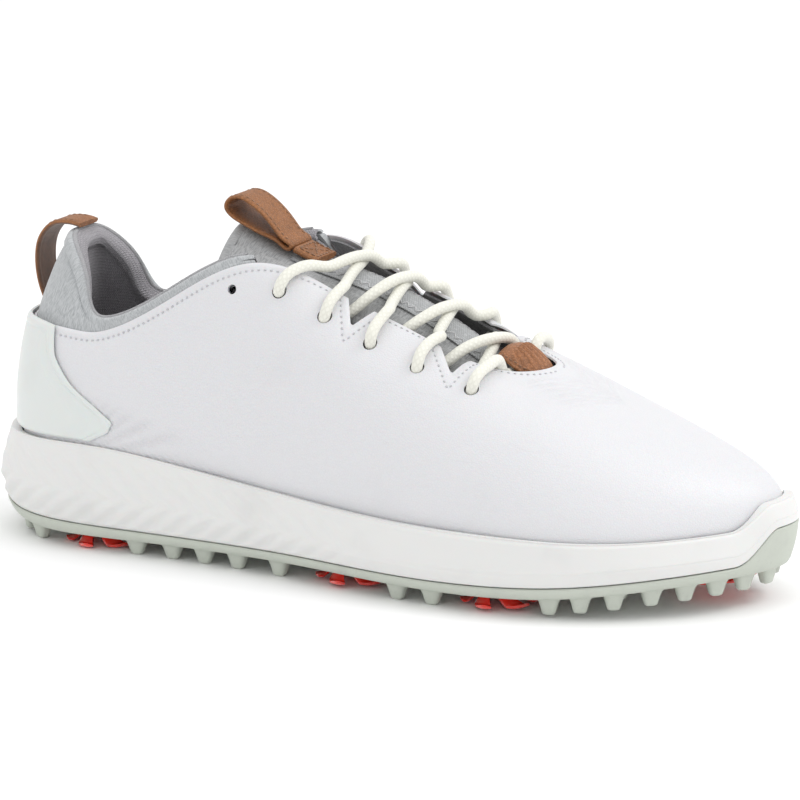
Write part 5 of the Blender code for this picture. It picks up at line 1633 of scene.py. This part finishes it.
def lace_path():
    """The whole lace: from one tucked end, criss-cross to the lowest bar and back to the other."""
    low = 2.05 + LACE_RADIUS
    high = low + LACE_RADIUS * 2 + 0.5
    hole_x = [shell(u, t, 0.0)[0] for u, t in EYELETS]
    depths = [-3.3, -0.9, 1.2, 3.2, 5.3]

    def crest_at(x):
        return np.interp(x, CREST[:, 1], CREST[:, 0])

    def climb(row, medial, leans, offset, heights=(0.35, 0.75, 1.12)):
        """From beside an eyelet to the leather's edge, leaning forward by these mm."""
        t = EYELETS[row][1]
        return [leather_at(hole_x[row] + lean, t + h * (1 - t), medial, offset)
                for lean, h in zip(leans, heights)]

    def half(medial):
        """From the tucked end, out of the top eyelet and down to the lowest one."""
        on = medial
        free = [(7.5, 0.16, -4.2), (7.0, 0.15, -4.0), (6.5, 0.16, -4.0), (6.1, 0.2, -4.0),
                (5.85, 0.3, -4.0), (5.7, 0.45, -4.2), (5.55, 0.6, -4.2), (5.42, 0.71, -4.4),
                (5.3, 0.79, -4.2)]
        run = [shell(18 - a if medial else a, b, c) for a, b, c in free]
        run += [eyelet_point(0, on, d) for d in depths]
        run += climb(0, on, (1.0, 3.0, 5.5), 5.6)
        for row in range(4):
            sign = 1 if on else -1
            shallow = low if on else high
            cross = crest_at(hole_x[row] + (14.5 if row < 3 else 12.5))
            first = 2.6 if row == 0 else 1.8
            run.append(tongue_point(cross - 0.118, 0.27 * sign, shallow * 0.6 + first))
            run.append(tongue_point(cross - 0.044, 0.1 * sign, shallow))
            run.append(tongue_point(cross + 0.044, -0.1 * sign, shallow))
            run.append(tongue_point(cross + 0.118, -0.27 * sign, shallow * 0.45 + low * 0.5))
            on = not on
            if row < 3:
                run += climb(row + 1, on, (0.2, 0.8, 1.6), 5.6)[::-1]
                run += [eyelet_point(row + 1, on, d) for d in depths[::-1]]
                run += climb(row + 1, on, (2.5, 6.0), -3.5, (0.35, 0.9))
        run += climb(4, on, (-0.5, -3.0), -3.5, (0.35, 0.9))[::-1]
        run += [eyelet_point(4, on, d) for d in depths]
        run += climb(4, on, (0.5, 1.5, 2.0), 6.1)
        return run

    first = half(False)
    second = half(True)
    middle = crest_at(hole_x[4] + 3.0)
    bar = [tongue_point(middle, 0.3, 4.4), tongue_point(middle + 0.02, 0.0, 4.0),
           tongue_point(middle, -0.3, 4.4)]
    bar = bar if first[-1][1] > 0 else bar[::-1]
    return np.array(first + bar + second[::-1])


def build_lace():
    coarse = resample(rounded(lace_path(), 2), 5.5)
    length = run_of(coarse)
    places = np.arange(0, length[-1], LACE_STEP)
    path = spline(length, coarse, places)
    thin = np.minimum(places, places[-1] - places)
    aglet = 1.15
    radii = aglet + (LACE_DRAWN_RADIUS - aglet) * smooth((thin - 25) / 4)
    sides = 18
    around = np.arange(sides) * 2 * math.pi / sides
    turn = places[:, None] * 0.9
    weave = np.sin(4 * around + turn) * np.sin(4 * around - turn)
    rod("lace_braided", path, radii[:, None] * (1 + 0.015 * weave), sides, LOOKS["lace"], "shoe",
        ["lace"])


# ---------------------------------------------------------------- the heel loop


def build_heel_loop():
    outer = np.array([(17.2, 83.4), (15.4, 88), (14.1, 94), (13.9, 100), (15.0, 105.5), (17.8, 110),
                      (21.8, 112.9), (26, 113.7), (30, 113.6), (33.2, 112.9)])
    along = np.gradient(outer, axis=0)
    across = unit(np.stack([along[:, 1], -along[:, 0]], 1))
    line = smooth_line(outer + across * 0.95, 0.5)
    looks = [LOOKS["suede"], LOOKS["brown"], LOOKS["brown"]]
    wide_strap("heel_loop_strap", line, 1.85, 14, looks, "shoe", ["heel_loop"])
    way = unit(np.gradient(line, axis=0))
    out = np.stack([-way[:, 1], way[:, 0]], 1)
    for place, across in (("lateral", -5.2), ("medial", 5.2)):
        strap_stitches("heel_loop_stitching_" + place, line[4:-4], out[4:-4], across,
                       LOOKS["thread_brown"], "shoe", 0.8)


# ---------------------------------------------------------------- the CAD parts that stay


def finish_cad_nodes():
    """Better materials on the CAD parts whose shape is right as it is."""
    finishes = {"shank_plate": "shank", "strobel_board": "board", "aglet_lateral": "aglet",
                "aglet_medial": "aglet"}
    for name, _, _ in SPIKES:
        finishes["receptacle_" + name] = "black"
    for name, look in finishes.items():
        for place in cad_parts[name].material_slots:
            place.material = LOOKS[look]


# ---------------------------------------------------------------- floor, light and camera


TARGET = (0.0, 0.0032, 0.050)
AZIMUTH, ELEVATION, DISTANCE = 25.0, 13.5, 1.5
# Focal length and sensor width in mm, and how far the view is shifted, in widths of the frame.
LENS, SENSOR = 190.35, 36.0
VIEW_SHIFT = (0.0175, 0.02625)


def build_stage():
    mesh = bpy.data.meshes.new("floor")
    mesh.from_pydata([(-4, -4, 0), (4, -4, 0), (4, 4, 0), (-4, 4, 0)], [], [(0, 1, 2, 3)])
    floor_look = Look("pale_floor", (0.95, 0.95, 0.95), 0.7)
    floor_look.bump(floor_look.noise(3, 2), 0.01)
    mesh.materials.append(floor_look.material)
    floor = bpy.data.objects.new("floor", mesh)
    bpy.context.scene.collection.objects.link(floor)


def way_to(azimuth, elevation):
    """The direction from the shoe, with azimuth 0 at its lateral side."""
    a, e = math.radians(azimuth), math.radians(elevation)
    return np.array([math.sin(a) * math.cos(e), -math.cos(a) * math.cos(e), math.sin(e)])


def area_light(name, azimuth, elevation, distance, size, watts):
    """A square soft light that points at the shoe."""
    way = way_to(azimuth, elevation)
    data = bpy.data.lights.new(name, "AREA")
    data.energy = watts
    data.size = size
    lamp = bpy.data.objects.new(name, data)
    lamp.location = np.array(TARGET) + way * distance
    lamp.rotation_euler = look_from(way)
    bpy.context.scene.collection.objects.link(lamp)


def look_from(way):
    """Euler angles that look back along a direction."""
    flat = math.hypot(way[0], way[1])
    return (math.atan2(flat, way[2]), 0.0, math.atan2(way[0], -way[1]))


def build_light_and_camera():
    world = bpy.data.worlds.new("studio")
    world.use_nodes = True
    sky = world.node_tree.nodes["Background"]
    sky.inputs["Color"].default_value = (1, 1, 1, 1)
    sky.inputs["Strength"].default_value = 1.0
    bpy.context.scene.world = world
    area_light("key", 105, 48, 1.6, 0.7, 8)
    area_light("top", -40, 70, 1.5, 1.2, 3)
    bpy.context.scene.view_settings.view_transform = "Standard"
    way = way_to(AZIMUTH, ELEVATION)
    data = bpy.data.cameras.new("camera")
    data.sensor_width = SENSOR
    data.lens = LENS
    data.shift_x, data.shift_y = VIEW_SHIFT
    data.clip_end = 20
    camera = bpy.data.objects.new("camera", data)
    camera.location = np.array(TARGET) + way * DISTANCE
    camera.rotation_euler = look_from(way)
    bpy.context.scene.collection.objects.link(camera)
    bpy.context.scene.camera = camera


build_leather()
build_linings()
build_clip()
build_midsole()
build_outsole()
build_spikes()
build_boards()
build_tongue()
build_lace()
build_heel_loop()
finish_cad_nodes()
build_stage()
build_light_and_camera()
